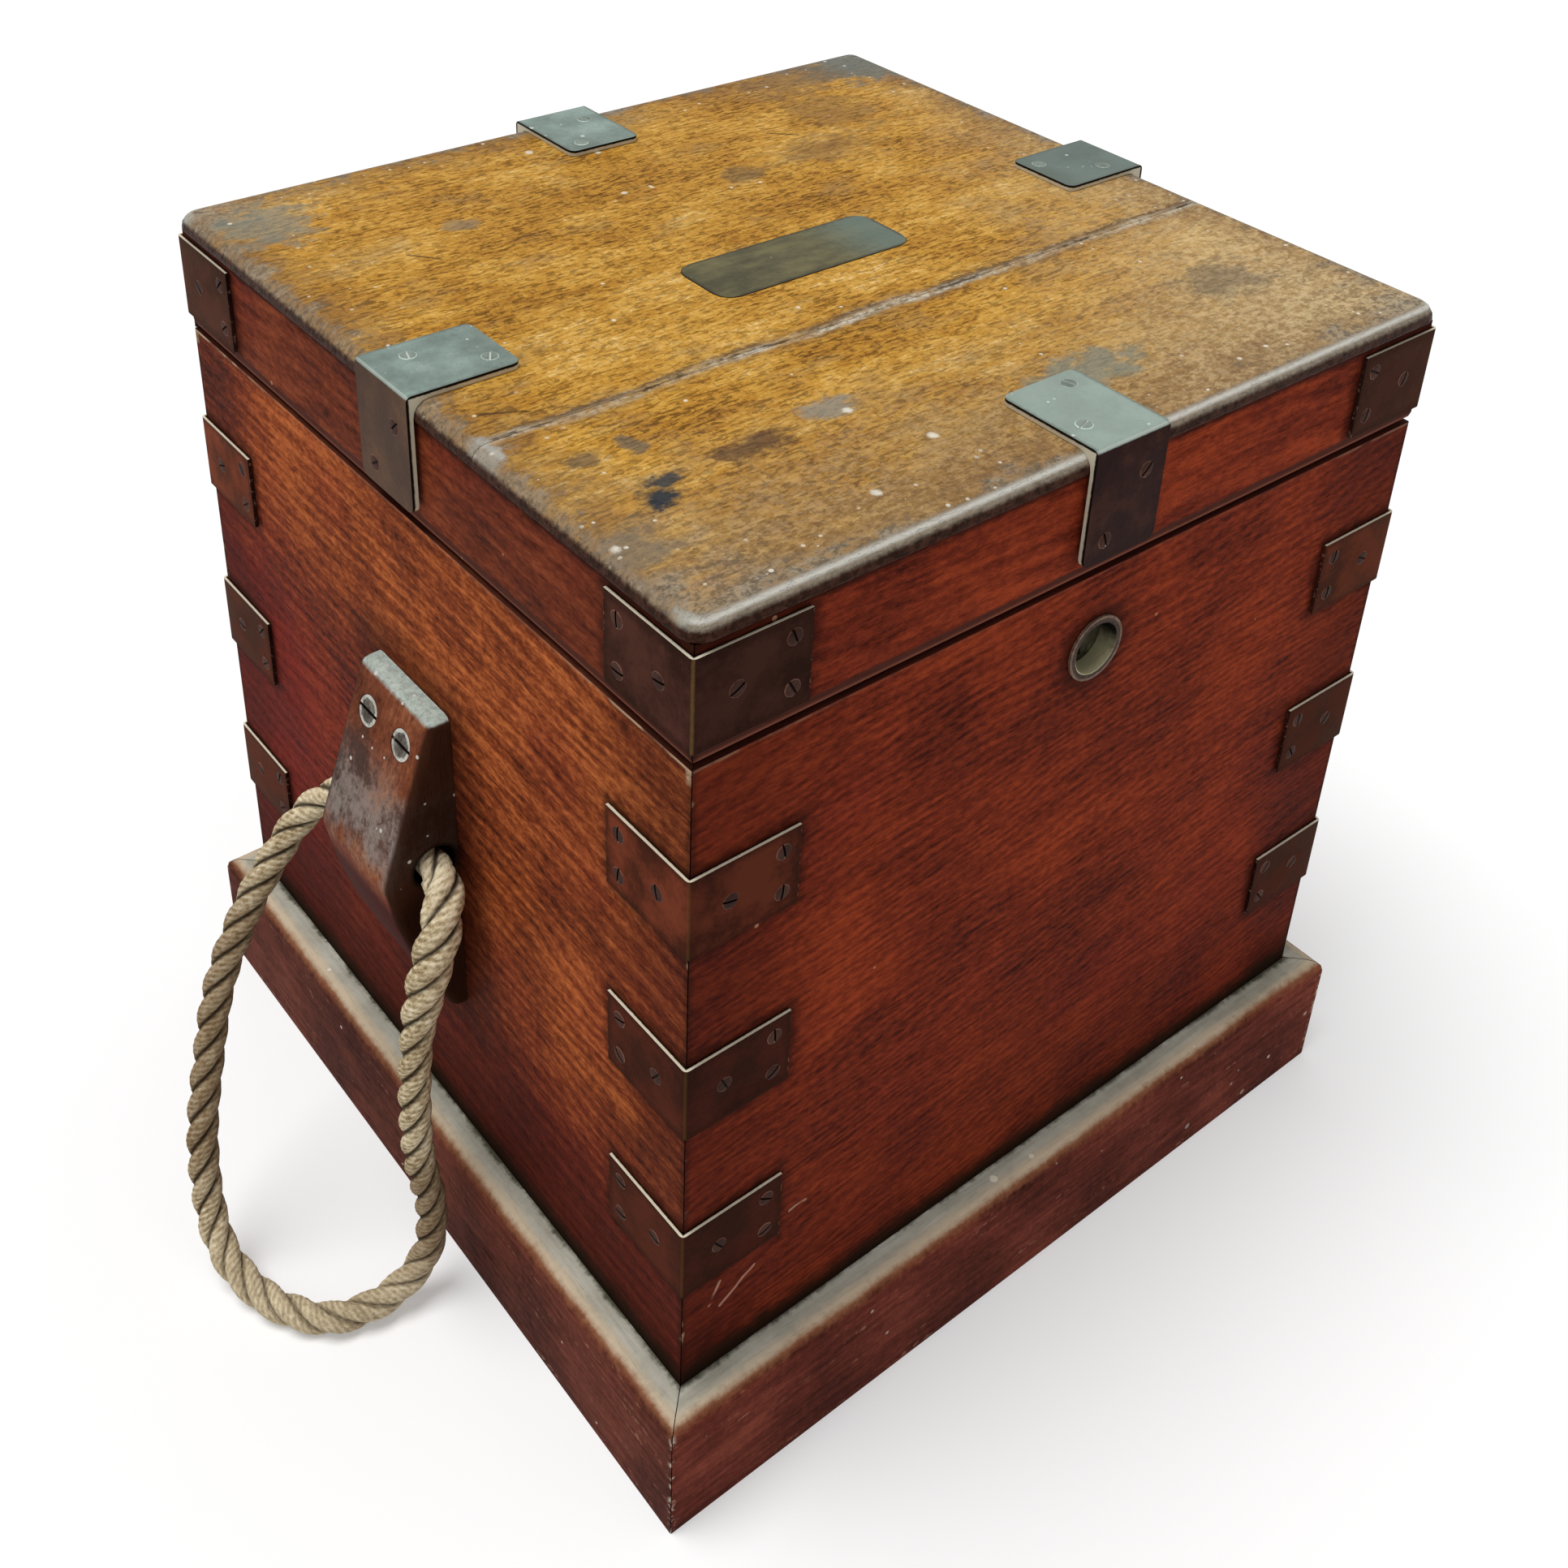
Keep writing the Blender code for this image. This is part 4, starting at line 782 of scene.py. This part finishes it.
def bracket_brass():
    """Brass gone dark brown, darkest on the lid, with painted shade on the legs that face front and back, and
    on its upward faces a painted highlight at the outer rim with painted shade inside it.
    """
    f = Finish("bracket_brass")
    fine, stain = tarnish(f, 420, 36, 70.0, reach=0.18, detail=5, roughness=0.6)
    brown = f.ramp(stain, (0.1, "#2e1410"), (0.9, "#4e241b"))
    rusty = f.ramp(stain, (0.1, "#3e1b13"), (0.9, "#703625"))
    dark = f.ramp(stain, (0.1, "#2a1714"), (0.9, "#4a2d26"))
    f.colour = f.mix(step(f.z, 0.3, 0.33), brown, rusty)
    on_lid = step(f.z, RIM - 0.002, RIM + 0.004)
    f.coat(on_lid, dark)
    # Painted shade on the faces towards the front and back
    f.coat(step(abs(f.back), 0.5, 0.8) * 0.42, "#1a0d0c")
    corner = from_corner(f)
    rim = least(BRACKET_HALF_HEIGHT - from_bracket_middle(f), BRACKET_LEG - corner)
    f.coat(step(rim + fine * 0.006, 0.0045, 0.0) * 0.6, "#20110e")
    arris = step(corner + fine * 0.001, -0.0004, -0.0014)
    f.coat(arris * (0.25 + on_lid * 0.4), "#6c5430")
    end = step(corner, BRACKET_LEG - 0.0006, BRACKET_LEG - 0.0002) * step(fine, 0.06, 0.14)
    f.coat(end * 0.5, "#967864")
    # Painted highlight on the outer rim of the upward faces, with painted shade inside it
    thickness = fine * 0.0005 - from_outline(f)
    edge = f.mix(step(thickness, 0.0006, 0.001), "#16100d", "#d8ceb8")
    f.coat(step(f.up, 0.5, 0.8), edge)
    height = fine + stain * 0.4
    return f.done(0.5 + stain * 0.12, height, 0.0002, metallic=0.3, specular=0.02, tint=OIL)


def strap_brass(name, axis):
    """Brass that is pale blue-green where it faces up, dark brown below, and cream at its inner edge, with a
    painted highlight on its bend and painted shade on the upper part of its edge faces.

    axis is the direction across the strap: 0 on the front and back, 1 on the sides.
    """
    f = Finish(name)
    across = abs((f.right, f.back)[axis])
    outward = (abs(f.y) - HALF_DEPTH, abs(f.x) - HALF_WIDTH)[axis]
    aside = abs((f.x, f.y)[axis])
    thickness = most(f.z - STRAP_TOP_FACE, outward - STRAP_SIDE_FACE)
    fine, stain = tarnish(f, 380, 30, 80.0, detail=5, roughness=0.6)
    brown = f.ramp(stain, (0.1, "#200e0c"), (0.5, "#2a1511"), (0.9, "#3e241c"))
    if axis == 1:
        brown = f.mix(stain * 0.3 + 0.25, brown, "#7a5e48")
    f.colour = f.ramp(stain, (0.05, "#6e7c75"), (0.5, "#82938c"), (0.95, "#93a49d"))
    f.coat(step(fine, 0.04, 0.14) * 0.35, "#686e62")
    f.coat(step(f.x, 0.1, 0.15) * 0.7, "#58625b")
    f.coat(step(outward + fine * 0.02, -0.03, -0.05) * 0.4, "#5c625a")
    f.coat(step(f.y, -0.12, -0.16) * 0.5, "#9eaba1")
    margin = step(STRAP_HALF - aside + fine * 0.002, 0.0022, 0.0)
    f.coat(margin * 0.6, "#585c54")
    f.coat(step(f.up + fine * 0.1, 0.6, 0.35), brown)
    # Painted highlight on the bend
    fold_highlight = step(abs(f.up - 0.72), 0.22, 0.05) * step(thickness, -0.001, -0.0003)
    f.coat(fold_highlight * 0.7, "#c4c8be")
    # Painted shade on the upper part of the edge faces, which are cream at their foot
    edge = f.mix(step(thickness + fine * 0.0008, -0.0016, -0.001), "#c8c0aa", "#16110e")
    inner_end = step(outward, -0.04, -0.044) * step(f.up, 0.5, 0.3)
    f.coat(most(step(across, 0.6, 0.8), inner_end), edge)
    flecks = most(f.specks(120, 0.22, 0.2, 4.0), f.specks(260, 0.16, 0.26, 6.0))
    f.coat(flecks * step(f.up, 0.6, 0.9) * 0.7, "#d8dcd4")
    return f.done(0.5 + stain * 0.12, fine + stain * 0.3, 0.00015, metallic=0.25, specular=0.03)


def plate_brass():
    """The name plate: olive, green towards the right end, and darker along its outline."""
    f = Finish("plate_brass")
    fine, stain = tarnish(f, 300, (24, 60, 60), 85.0)
    f.colour = f.ramp(stain, (0.1, "#46422a"), (0.5, "#585335"), (0.9, "#6b6441"))
    f.coat(step(f.x + fine * 0.03, 0.012, 0.05) * 0.8, "#64746a")
    inside = least(PLATE_HALF.x - abs(f.x), PLATE_HALF.y - abs(f.y)) + fine * 0.002
    f.coat(step(inside, 0.0022, 0.0002) * 0.7, "#2e261b")
    f.coat(f.specks(160, 0.1, 0.17, 5.0) * 0.55, "#b0b6a8")
    return f.done(0.48, fine, 0.0002, metallic=1.0)


def block_screw_steel():
    """The blocks' large screws: a worn bright ring round each head, a dark face and a slot painted black as
    shade.
    """
    f = Finish("block_screw_steel")
    lean_out, lean_up = BLOCK_SCREW_LEAN
    out, up = abs(f.x) - BLOCK_SCREW.x, f.z - BLOCK_SCREW.z
    climb = up * lean_out - out * lean_up
    depth = out * lean_out + up * lean_up
    radius = length(climb, abs(f.y) - BLOCK_SCREW.y)
    fine, stain = tarnish(f, 500, 150, 95.0, 0.3, 0.18)
    f.colour = f.ramp(stain, (0.1, "#3c342e"), (0.9, "#706a60"))
    ring = step(radius + fine * 0.004, 0.0054, 0.0064) * step(radius, 0.0077, 0.0073)
    f.coat(ring * (0.45 + stain * 0.5), "#ceccc2")
    # Painted shade in the slot
    slot = step(abs(climb), 0.00105, 0.0009) * step(depth, -0.0002, -0.0006)
    f.coat(slot, "#18120f")
    return f.done(0.5, fine, 0.00025, metallic=0.4, specular=0.1)


def ring_brass():
    """The escutcheon: painted shade in the top of the bore and a painted highlight at its bottom, dark on the
    face, rubbed at the rim.
    """
    f = Finish("ring_brass")
    fine = f.jitter(420, 97.0)
    up = f.z - RING_HEIGHT
    radius = length(f.x, up) + fine * 0.001
    face = f.ramp(fine + 0.5, (0.3, "#2c211b"), (0.7, "#4e3c32"))
    rim = f.ramp(fine + 0.5, (0.3, "#543e34"), (0.7, "#846c5c"))
    f.colour = f.mix(step(radius, RING_HIGH.x - 0.0016, RING_HIGH.x - 0.0008), face, rim)
    # Painted shade in the bore's top, and a painted highlight at its bottom
    bore = f.mix(step(up + fine * 0.006, 0.004, -0.01), "#16120d", "#bab28e")
    f.coat(step(radius, 0.0131, 0.0126), bore)
    return f.done(0.5, fine, 0.0003, metallic=0.3, specular=0.05)


def fitting_brass(name, low, high, green):
    """Plain worn brass of the lock, the hinges and the small screws, with some verdigris."""
    f = Finish(name)
    fine, stain = tarnish(f, 420, 70, 90.0, 0.3, detail=5)
    f.colour = f.ramp(stain, (0.1, low), (0.9, high))
    rust = step(f.noise(150, 92.0), 0.52, 0.62)
    f.coat(rust * green, "#687660")
    return f.done(0.5 + stain * 0.15, fine, 0.0002, metallic=0.3, specular=0.03)


def plain_steel(name, low, high):
    f = Finish(name)
    fine, stain = tarnish(f, 500, 130, 95.0, 0.3, 0.18)
    f.colour = f.ramp(stain, (0.1, low), (0.9, high))
    return f.done(0.4 + stain * 0.15, fine, 0.00015, metallic=1.0)


# Rope


def hemp():
    """Laid hemp, with painted shade in the grooves and on the low bend by the plinth. The mesh's own map runs
    along a strand in metres and once around it.
    """
    f = Finish("hemp")
    along, around, _ = f.split(f.layout)
    yarn = combine("SINE", (around * 6.0 - along * 230.0) * (2 * math.pi))
    fibre = f.noise((330, 16, 1), 41.0, roughness=0.7, vector=f.layout)
    tuft = f.noise(300, 42.0, roughness=0.7)
    worn = f.noise(22, 43.0, detail=3)
    tone = step(fibre * 0.4 + tuft * 0.4 + yarn * 0.04 + worn * 0.28, 0.36, 0.74)
    f.colour = f.ramp(tone, (0.08, "#826e50"), (0.45, "#bcaa88"), (0.85, "#e4d6b8"))
    # The rear leg is darker, and the front leg's low bend by the plinth gets painted shade
    rear = step(f.y, 0.0, 0.03) * step(f.z, 0.03, 0.09) * step(f.z, 0.25, 0.18) * 0.55
    foot = step(f.y, -0.03, -0.045) * step(f.z, 0.12, 0.085) * step(f.z, 0.012, 0.035) * 0.64
    f.coat(most(rear, foot), "#644830")
    low = step(f.z, 0.05, 0.012)
    f.coat(low * 0.35, "#beb094")
    # Painted shade on each strand's inner side, in the grooves between strands
    inner = step(combine("COSINE", around * (2 * math.pi)), 0.62, 0.1)
    f.coat(inner * (0.9 - low * 0.35), "#2e2116")
    height = yarn * 0.16 + fibre + tuft * 0.8
    return f.done(0.9, height, 0.0006, specular=0.03)


# Shapes


def turned(profile, sides):
    """A closed solid turned about Z from (radius, height) points, the first and last on the axis."""
    shape = bmesh.new()
    rings = []
    angles = [2 * math.pi * i / sides for i in range(sides)]
    for radius, height in profile[1:-1]:
        rings.append([shape.verts.new((radius * math.cos(a), radius * math.sin(a), height)) for a in angles])
    first = shape.verts.new((0.0, 0.0, profile[0][1]))
    last = shape.verts.new((0.0, 0.0, profile[-1][1]))
    for i in range(sides):
        after = (i + 1) % sides
        shape.faces.new((first, rings[0][i], rings[0][after]))
        shape.faces.new((last, rings[-1][after], rings[-1][i]))
        for upper, lower in zip(rings, rings[1:]):
            shape.faces.new((upper[i], lower[i], lower[after], upper[after]))
    bmesh.ops.recalc_face_normals(shape, faces=shape.faces)
    return shape


def screw_mesh(materials, first):
    """A slotted countersunk head at the origin, facing +Z.

    Its face, rim and slot have the materials from the first one named on.
    """
    dome = ((0.0, 1.0), (0.45, 0.92), (0.8, 0.62), (0.9, 0.4), (1.0, -0.1))
    profile = [(out * SCREW_RADIUS, up * SCREW_DOME) for out, up in dome]
    profile += [(0.55 * SCREW_RADIUS, -SCREW_DEPTH), (0.0, -SCREW_DEPTH)]
    head = new_object("screw_head", turned(profile, SCREW_SIDES))
    cutter = bmesh.new()
    bmesh.ops.create_cube(cutter, size=1.0)
    for corner in cutter.verts:
        corner.co.x *= 3 * SCREW_RADIUS
        corner.co.y *= SLOT_WIDTH
        corner.co.z += 0.5 - SLOT_DEPTH + SCREW_DOME
    tool = new_object("screw_slot", cutter)
    cut = head.modifiers.new("slot", "BOOLEAN")
    cut.operation = "DIFFERENCE"
    cut.object = tool
    bpy.context.view_layer.update()
    cut_head = head.evaluated_get(bpy.context.evaluated_depsgraph_get())
    mesh = bpy.data.meshes.new_from_object(cut_head)
    for spare in (head, tool):
        bpy.data.objects.remove(spare)
    mesh.materials.clear()
    for finish in materials:
        mesh.materials.append(finish)
    for face in mesh.polygons:
        out = math.hypot(face.center.x, face.center.y)
        in_slot = abs(face.center.y) < 0.51 * SLOT_WIDTH and face.center.z < 0.9 * SCREW_DOME
        face.material_index = first + (2 if in_slot else int(out > 0.88 * SCREW_RADIUS))
    return mesh


def screw_group(name, screws, body):
    """One piece of several screws, each a mesh and the matrix that places it, riding on a body."""
    shape = bmesh.new()
    for mesh, place in screws:
        copy = mesh.copy()
        copy.transform(place)
        shape.from_mesh(copy)
        bpy.data.meshes.remove(copy)
    piece = new_object(name, shape)
    for finish in screws[0][0].materials:
        piece.data.materials.append(finish)
    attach(piece, body)


def place_screws(spots, turn, chance):
    """Matrices that take +Z to the normal at each point, spun about it by chance, and then turn it."""
    places = []
    for point, normal in spots:
        lean = Vector(normal).to_track_quat("Z", "Y").to_matrix().to_4x4()
        spin = Matrix.Rotation(chance.uniform(0, math.pi), 4, "Z")
        places.append(turn @ Matrix.Translation(point) @ lean @ spin)
    return places


def bracket_screw_places(node, chance):
    """Three screws in each leg of a corner bracket: low, high and midway."""
    low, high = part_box(node)
    heights = (low.z + BRACKET_SCREW_INSET, high.z - BRACKET_SCREW_INSET, (low.z + high.z) / 2)
    turn, x_sign, y_sign = CORNERS[BRACKETS[node]]
    corner = Matrix.Translation((x_sign * HALF_WIDTH, y_sign * HALF_DEPTH, 0.0)) @ turn_about_z(turn)
    spots = [((along, -BRACKET_FACE, height), (0, -1, 0)) for along, height in zip(BRACKET_SCREWS, heights)]
    spots += [((-BRACKET_FACE, along, height), (-1, 0, 0)) for along, height in zip(BRACKET_SCREWS, heights)]
    return place_screws(spots, corner, chance)


def strap_screw_places(side, chance):
    """Two screws in a strap's top leg, then two in its side leg."""
    front = HALF_DEPTH if side in ("front", "back") else HALF_WIDTH
    spots = [((aside, inward - front, STRAP_TOP_FACE), (0, 0, 1)) for aside, inward in STRAP_TOP_SCREWS]
    for aside, below in STRAP_SIDE_SCREWS:
        spots.append(((aside, -front - STRAP_SIDE_FACE, LID_TOP + below), (0, -1, 0)))
    return place_screws(spots, turn_about_z(SIDES[side]), chance)


def screw_finishes(kind, low, high, worn, shadow):
    """Face, rim and slot of a screw, each between two of its colours."""
    pairs = {"face": (low, high), "rim": (high, worn), "slot": (shadow, shadow)}
    return [fitting_brass(f"{kind}_screw_{part}", *pair, 0.0) for part, pair in pairs.items()]


def add_small_screws():
    # The rims are worn pale and also a painted highlight; the dark screws' slot is painted shade, the pale
    # screws' slot pale filler
    dark = screw_finishes("dark", "#321d18", "#4c3229", "#7c594d", "#190e0c")
    pale = screw_finishes("pale", "#68726a", "#869189", "#cad9ce", "#c4cac2")
    on_brown, on_green = [screw_mesh([*dark, *pale], first) for first in (0, 3)]
    chance = random.Random(SCREW_SEED)
    for node in BRACKETS:
        screws = [(on_brown, place) for place in bracket_screw_places(node, chance)]
        screw_group(f"{node}_screws", screws, "lid" if node.startswith("lid") else "chest")
    for side in SIDES:
        heads = (on_green, on_green, on_brown, on_brown)
        screw_group(f"lid_strap_{side}_screws", list(zip(heads, strap_screw_places(side, chance))), "lid")


# Rope shape


def smooth_ring(points, steps):
    """Points at even steps along a smooth closed curve, with its length."""
    fine = []
    for i in range(len(points)):
        a, b, c, d = [Vector(points[(i + k) % len(points)]) for k in (-1, 0, 1, 2)]
        for k in range(ROUTE_STEPS):
            t = k / ROUTE_STEPS
            pull = (c - a) * t + (2 * a - 5 * b + 4 * c - d) * t**2 + (3 * b - a - 3 * c + d) * t**3
            fine.append(b + pull / 2)
    lengths = [(fine[(i + 1) % len(fine)] - fine[i]).length for i in range(len(fine))]
    total = sum(lengths)
    spaced, travelled, here = [], 0.0, 0
    for i in range(steps):
        target = total * i / steps
        while travelled + lengths[here] < target:
            travelled += lengths[here]
            here += 1
        share = (target - travelled) / lengths[here]
        spaced.append(fine[here].lerp(fine[(here + 1) % len(fine)], share))
    return spaced, total


def ring_frames(points):
    """Two directions across the ring at each point, with no net twist round it."""
    count = len(points)
    tangents = [(points[(i + 1) % count] - points[i - 1]).normalized() for i in range(count)]
    side = tangents[0].orthogonal().normalized()
    sides = [side]
    for before, after in zip(tangents, tangents[1:] + tangents[:1]):
        side = before.rotation_difference(after) @ side
        sides.append(side)
    twist = math.atan2(sides[-1].cross(sides[0]).dot(tangents[0]), sides[-1].dot(sides[0]))
    frames = []
    for i, tangent in enumerate(tangents):
        turned_side = Matrix.Rotation(twist * i / count, 3, tangent) @ sides[i]
        frames.append((turned_side, tangent.cross(turned_side)))
    return frames


def rope_shape(points, fatness, total):
    """Three strands laid right-handed round a closed line, thicker where fatness is above 1."""
    shape = bmesh.new()
    layout = shape.loops.layers.uv.new("strand")
    frames = ring_frames(points)
    count = len(points)
    for strand in range(STRANDS):
        centres, outs = [], []
        for i, (side, other) in enumerate(frames):
            angle = 2 * math.pi * (ROPE_TURNS * i / count + strand / STRANDS)
            outs.append(side * math.cos(angle) + other * math.sin(angle))
            centres.append(points[i] + outs[-1] * STRAND_OFFSET * fatness[i])
        rings = []
        for i, (centre, out) in enumerate(zip(centres, outs)):
            forward = (centres[(i + 1) % count] - centres[i - 1]).normalized()
            out = (out - forward * out.dot(forward)).normalized()
            aside = forward.cross(out)
            ring = []
            for k in range(STRAND_SIDES):
                turn = 2 * math.pi * k / STRAND_SIDES
                spoke = out * math.cos(turn) + aside * math.sin(turn)
                ring.append(shape.verts.new(centre + spoke * STRAND_RADIUS * fatness[i]))
            rings.append(ring)
        for i in range(count):
            after = (i + 1) % count
            for k in range(STRAND_SIDES):
                beside = (k + 1) % STRAND_SIDES
                face = shape.faces.new((rings[i][k], rings[i][beside], rings[after][beside], rings[after][k]))
                face.smooth = True
                spots = ((i, k), (i, k + 1), (i + 1, k + 1), (i + 1, k))
                for loop, (row, column) in zip(face.loops, spots):
                    loop[layout].uv = (total * row / count, column / STRAND_SIDES)
    bmesh.ops.recalc_face_normals(shape, faces=shape.faces)
    return shape


def add_rope(side, hand, finish):
    """One becket's rope, a ring through its block's hole. hand is -1 on the left and 1 on the right."""
    hole = Vector((hand * (HALF_WIDTH + ROPE_HOLE_OUT), 0.0, ROPE_HOLE_HEIGHT))
    route = [hole + Vector((hand * out, along, up)) for out, along, up in ROPE_ROUTE]
    points, total = smooth_ring(route, ROPE_STEPS)
    fatness = []
    for point in points:
        away = abs(point.z - SPLICE.z) / SPLICE_REACH if point.y < SPLICE.y else 1.0
        fatness.append(1.0 + SPLICE_SWELL * (1.0 - min(away, 1.0) ** 2) ** 2)
    rope = new_object(f"laid_rope_{side}", rope_shape(points, fatness, total))
    rope.data.materials.append(finish)
    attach(rope, f"{side}_becket")
    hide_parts(f"rope_handle_{side}")


# Finishing


def dress(finish, *nodes):
    for node in nodes:
        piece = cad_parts[node]
        piece.data.materials.clear()
        piece.data.materials.append(finish)


def dress_wood():
    reds = ("#3e150e", "#722b19", "#963e21")
    # The side boards' colours are lighter than the front's as painted light, for the side that faces the
    # light
    lit_oranges = ("#2e110a", "#7f3c1e", "#be6a37")
    russets = ("#361810", "#662e1c", "#884428")
    front = red_oak("red_oak_front", 0, (-0.35, -0.35), -0.16, reds, 1.0, ring=0.005)
    # On the sides the painted shade at the foot is stronger, and the rim is worn pale and carries a painted
    # highlight
    side_shade_and_wear = {"low_shade": 0.7, "rim_wear_and_highlight": 1.0, "redness": 0.8}
    side = red_oak("red_oak_side", 1, (-0.5, 0.9), 0.05, lit_oranges, 7.0, **side_shade_and_wear)
    dress(front, "front_panel", "back_panel")
    dress(side, "left_panel", "right_panel")
    dress(red_oak("bottom_oak", 0, (0.2, -0.3), 0.02, reds, 50.0), "bottom_board")
    dress(red_oak("red_oak_lid_front", 0, (-0.5, 0.2), 0.03, reds, 14.0), "lid_front_rail", "lid_back_rail")
    dress(red_oak("red_oak_lid_side", 1, (-0.5, 0.2), 0.03, russets, 17.0), "lid_left_rail", "lid_right_rail")
    dress(golden_oak(), *LID_BOARDS)
    maroons = ("#341510", "#5e2b21", "#804031")
    umbers = ("#2e1410", "#542a20", "#723c2e")
    dress(plinth_oak("plinth_oak_front", 0, 20.0, maroons), "plinth_front", "plinth_back")
    dress(plinth_oak("plinth_oak_side", 1, 25.0, umbers), "plinth_left", "plinth_right")
    dress(block_oak(), *BLOCKS)


def dress_metal():
    dress(bracket_brass(), *BRACKETS)
    dress(strap_brass("strap_brass_front", 0), "lid_strap_front", "lid_strap_back")
    dress(strap_brass("strap_brass_side", 1), "lid_strap_left", "lid_strap_right")
    dress(plate_brass(), "name_plate")
    dress(ring_brass(), "escutcheon_ring")
    dress(fitting_brass("lock_brass", "#221f17", "#4a4536", 0.5), "lock_case", "lock_cover", "lid_link_plate")
    dress(fitting_brass("hinge_brass", "#3e2c1e", "#7e6644", 0.2), *HINGE_LEAVES)
    dress(plain_steel("old_steel", "#3e3c38", "#84827c"), "lock_bolt", "lock_spring", "key_pin", *HINGE_PINS)
    dress(block_screw_steel(), *BECKET_SCREWS)


def smoothing():
    """A node group that shades a solid smooth, except at its edges of more than SMOOTH_UP_TO degrees."""
    group = bpy.data.node_groups.new("smooth_by_angle", "GeometryNodeTree")
    group.interface.new_socket("Geometry", in_out="INPUT", socket_type="NodeSocketGeometry")
    group.interface.new_socket("Geometry", in_out="OUTPUT", socket_type="NodeSocketGeometry")
    tree = Tree(group)
    angle = tree.node("GeometryNodeInputMeshEdgeAngle").outputs["Unsigned Angle"]
    gentle = combine("LESS_THAN", Field(tree, angle), math.radians(SMOOTH_UP_TO))
    chain = (
        tree.node("NodeGroupInput"),
        tree.node("GeometryNodeRemoveAttribute", {"Name": "custom_normal"}),
        tree.node("GeometryNodeMergeByDistance", {"Distance": WELD}),
        tree.node("GeometryNodeSetShadeSmooth"),
        tree.node("GeometryNodeSetShadeSmooth", {"Shade Smooth": gentle}, domain="EDGE"),
        tree.node("NodeGroupOutput"),
    )
    for before, after in zip(chain, chain[1:]):
        tree.links.new(before.outputs["Geometry"], after.inputs["Geometry"])
    return group


def smooth_nodes():
    group = smoothing()
    rounded = [*LID_BOARDS, *BLOCKS, *BRACKETS, *HINGE_LEAVES, *HINGE_PINS, *BECKET_SCREWS, "escutcheon_ring"]
    rounded += [name.format(side) for name in ("plinth_{}", "lid_strap_{}", "lid_{}_rail") for side in SIDES]
    for node in rounded:
        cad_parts[node].modifiers.new("smooth", "NODES").node_group = group


bpy.context.scene.view_settings.view_transform = "Standard"
add_camera()
rope_finish = hemp()
for becket_side, becket_hand in (("left", -1), ("right", 1)):
    add_rope(becket_side, becket_hand, rope_finish)
add_light()
add_world()
add_floor()
dress_wood()
dress_metal()
add_small_screws()
smooth_nodes()
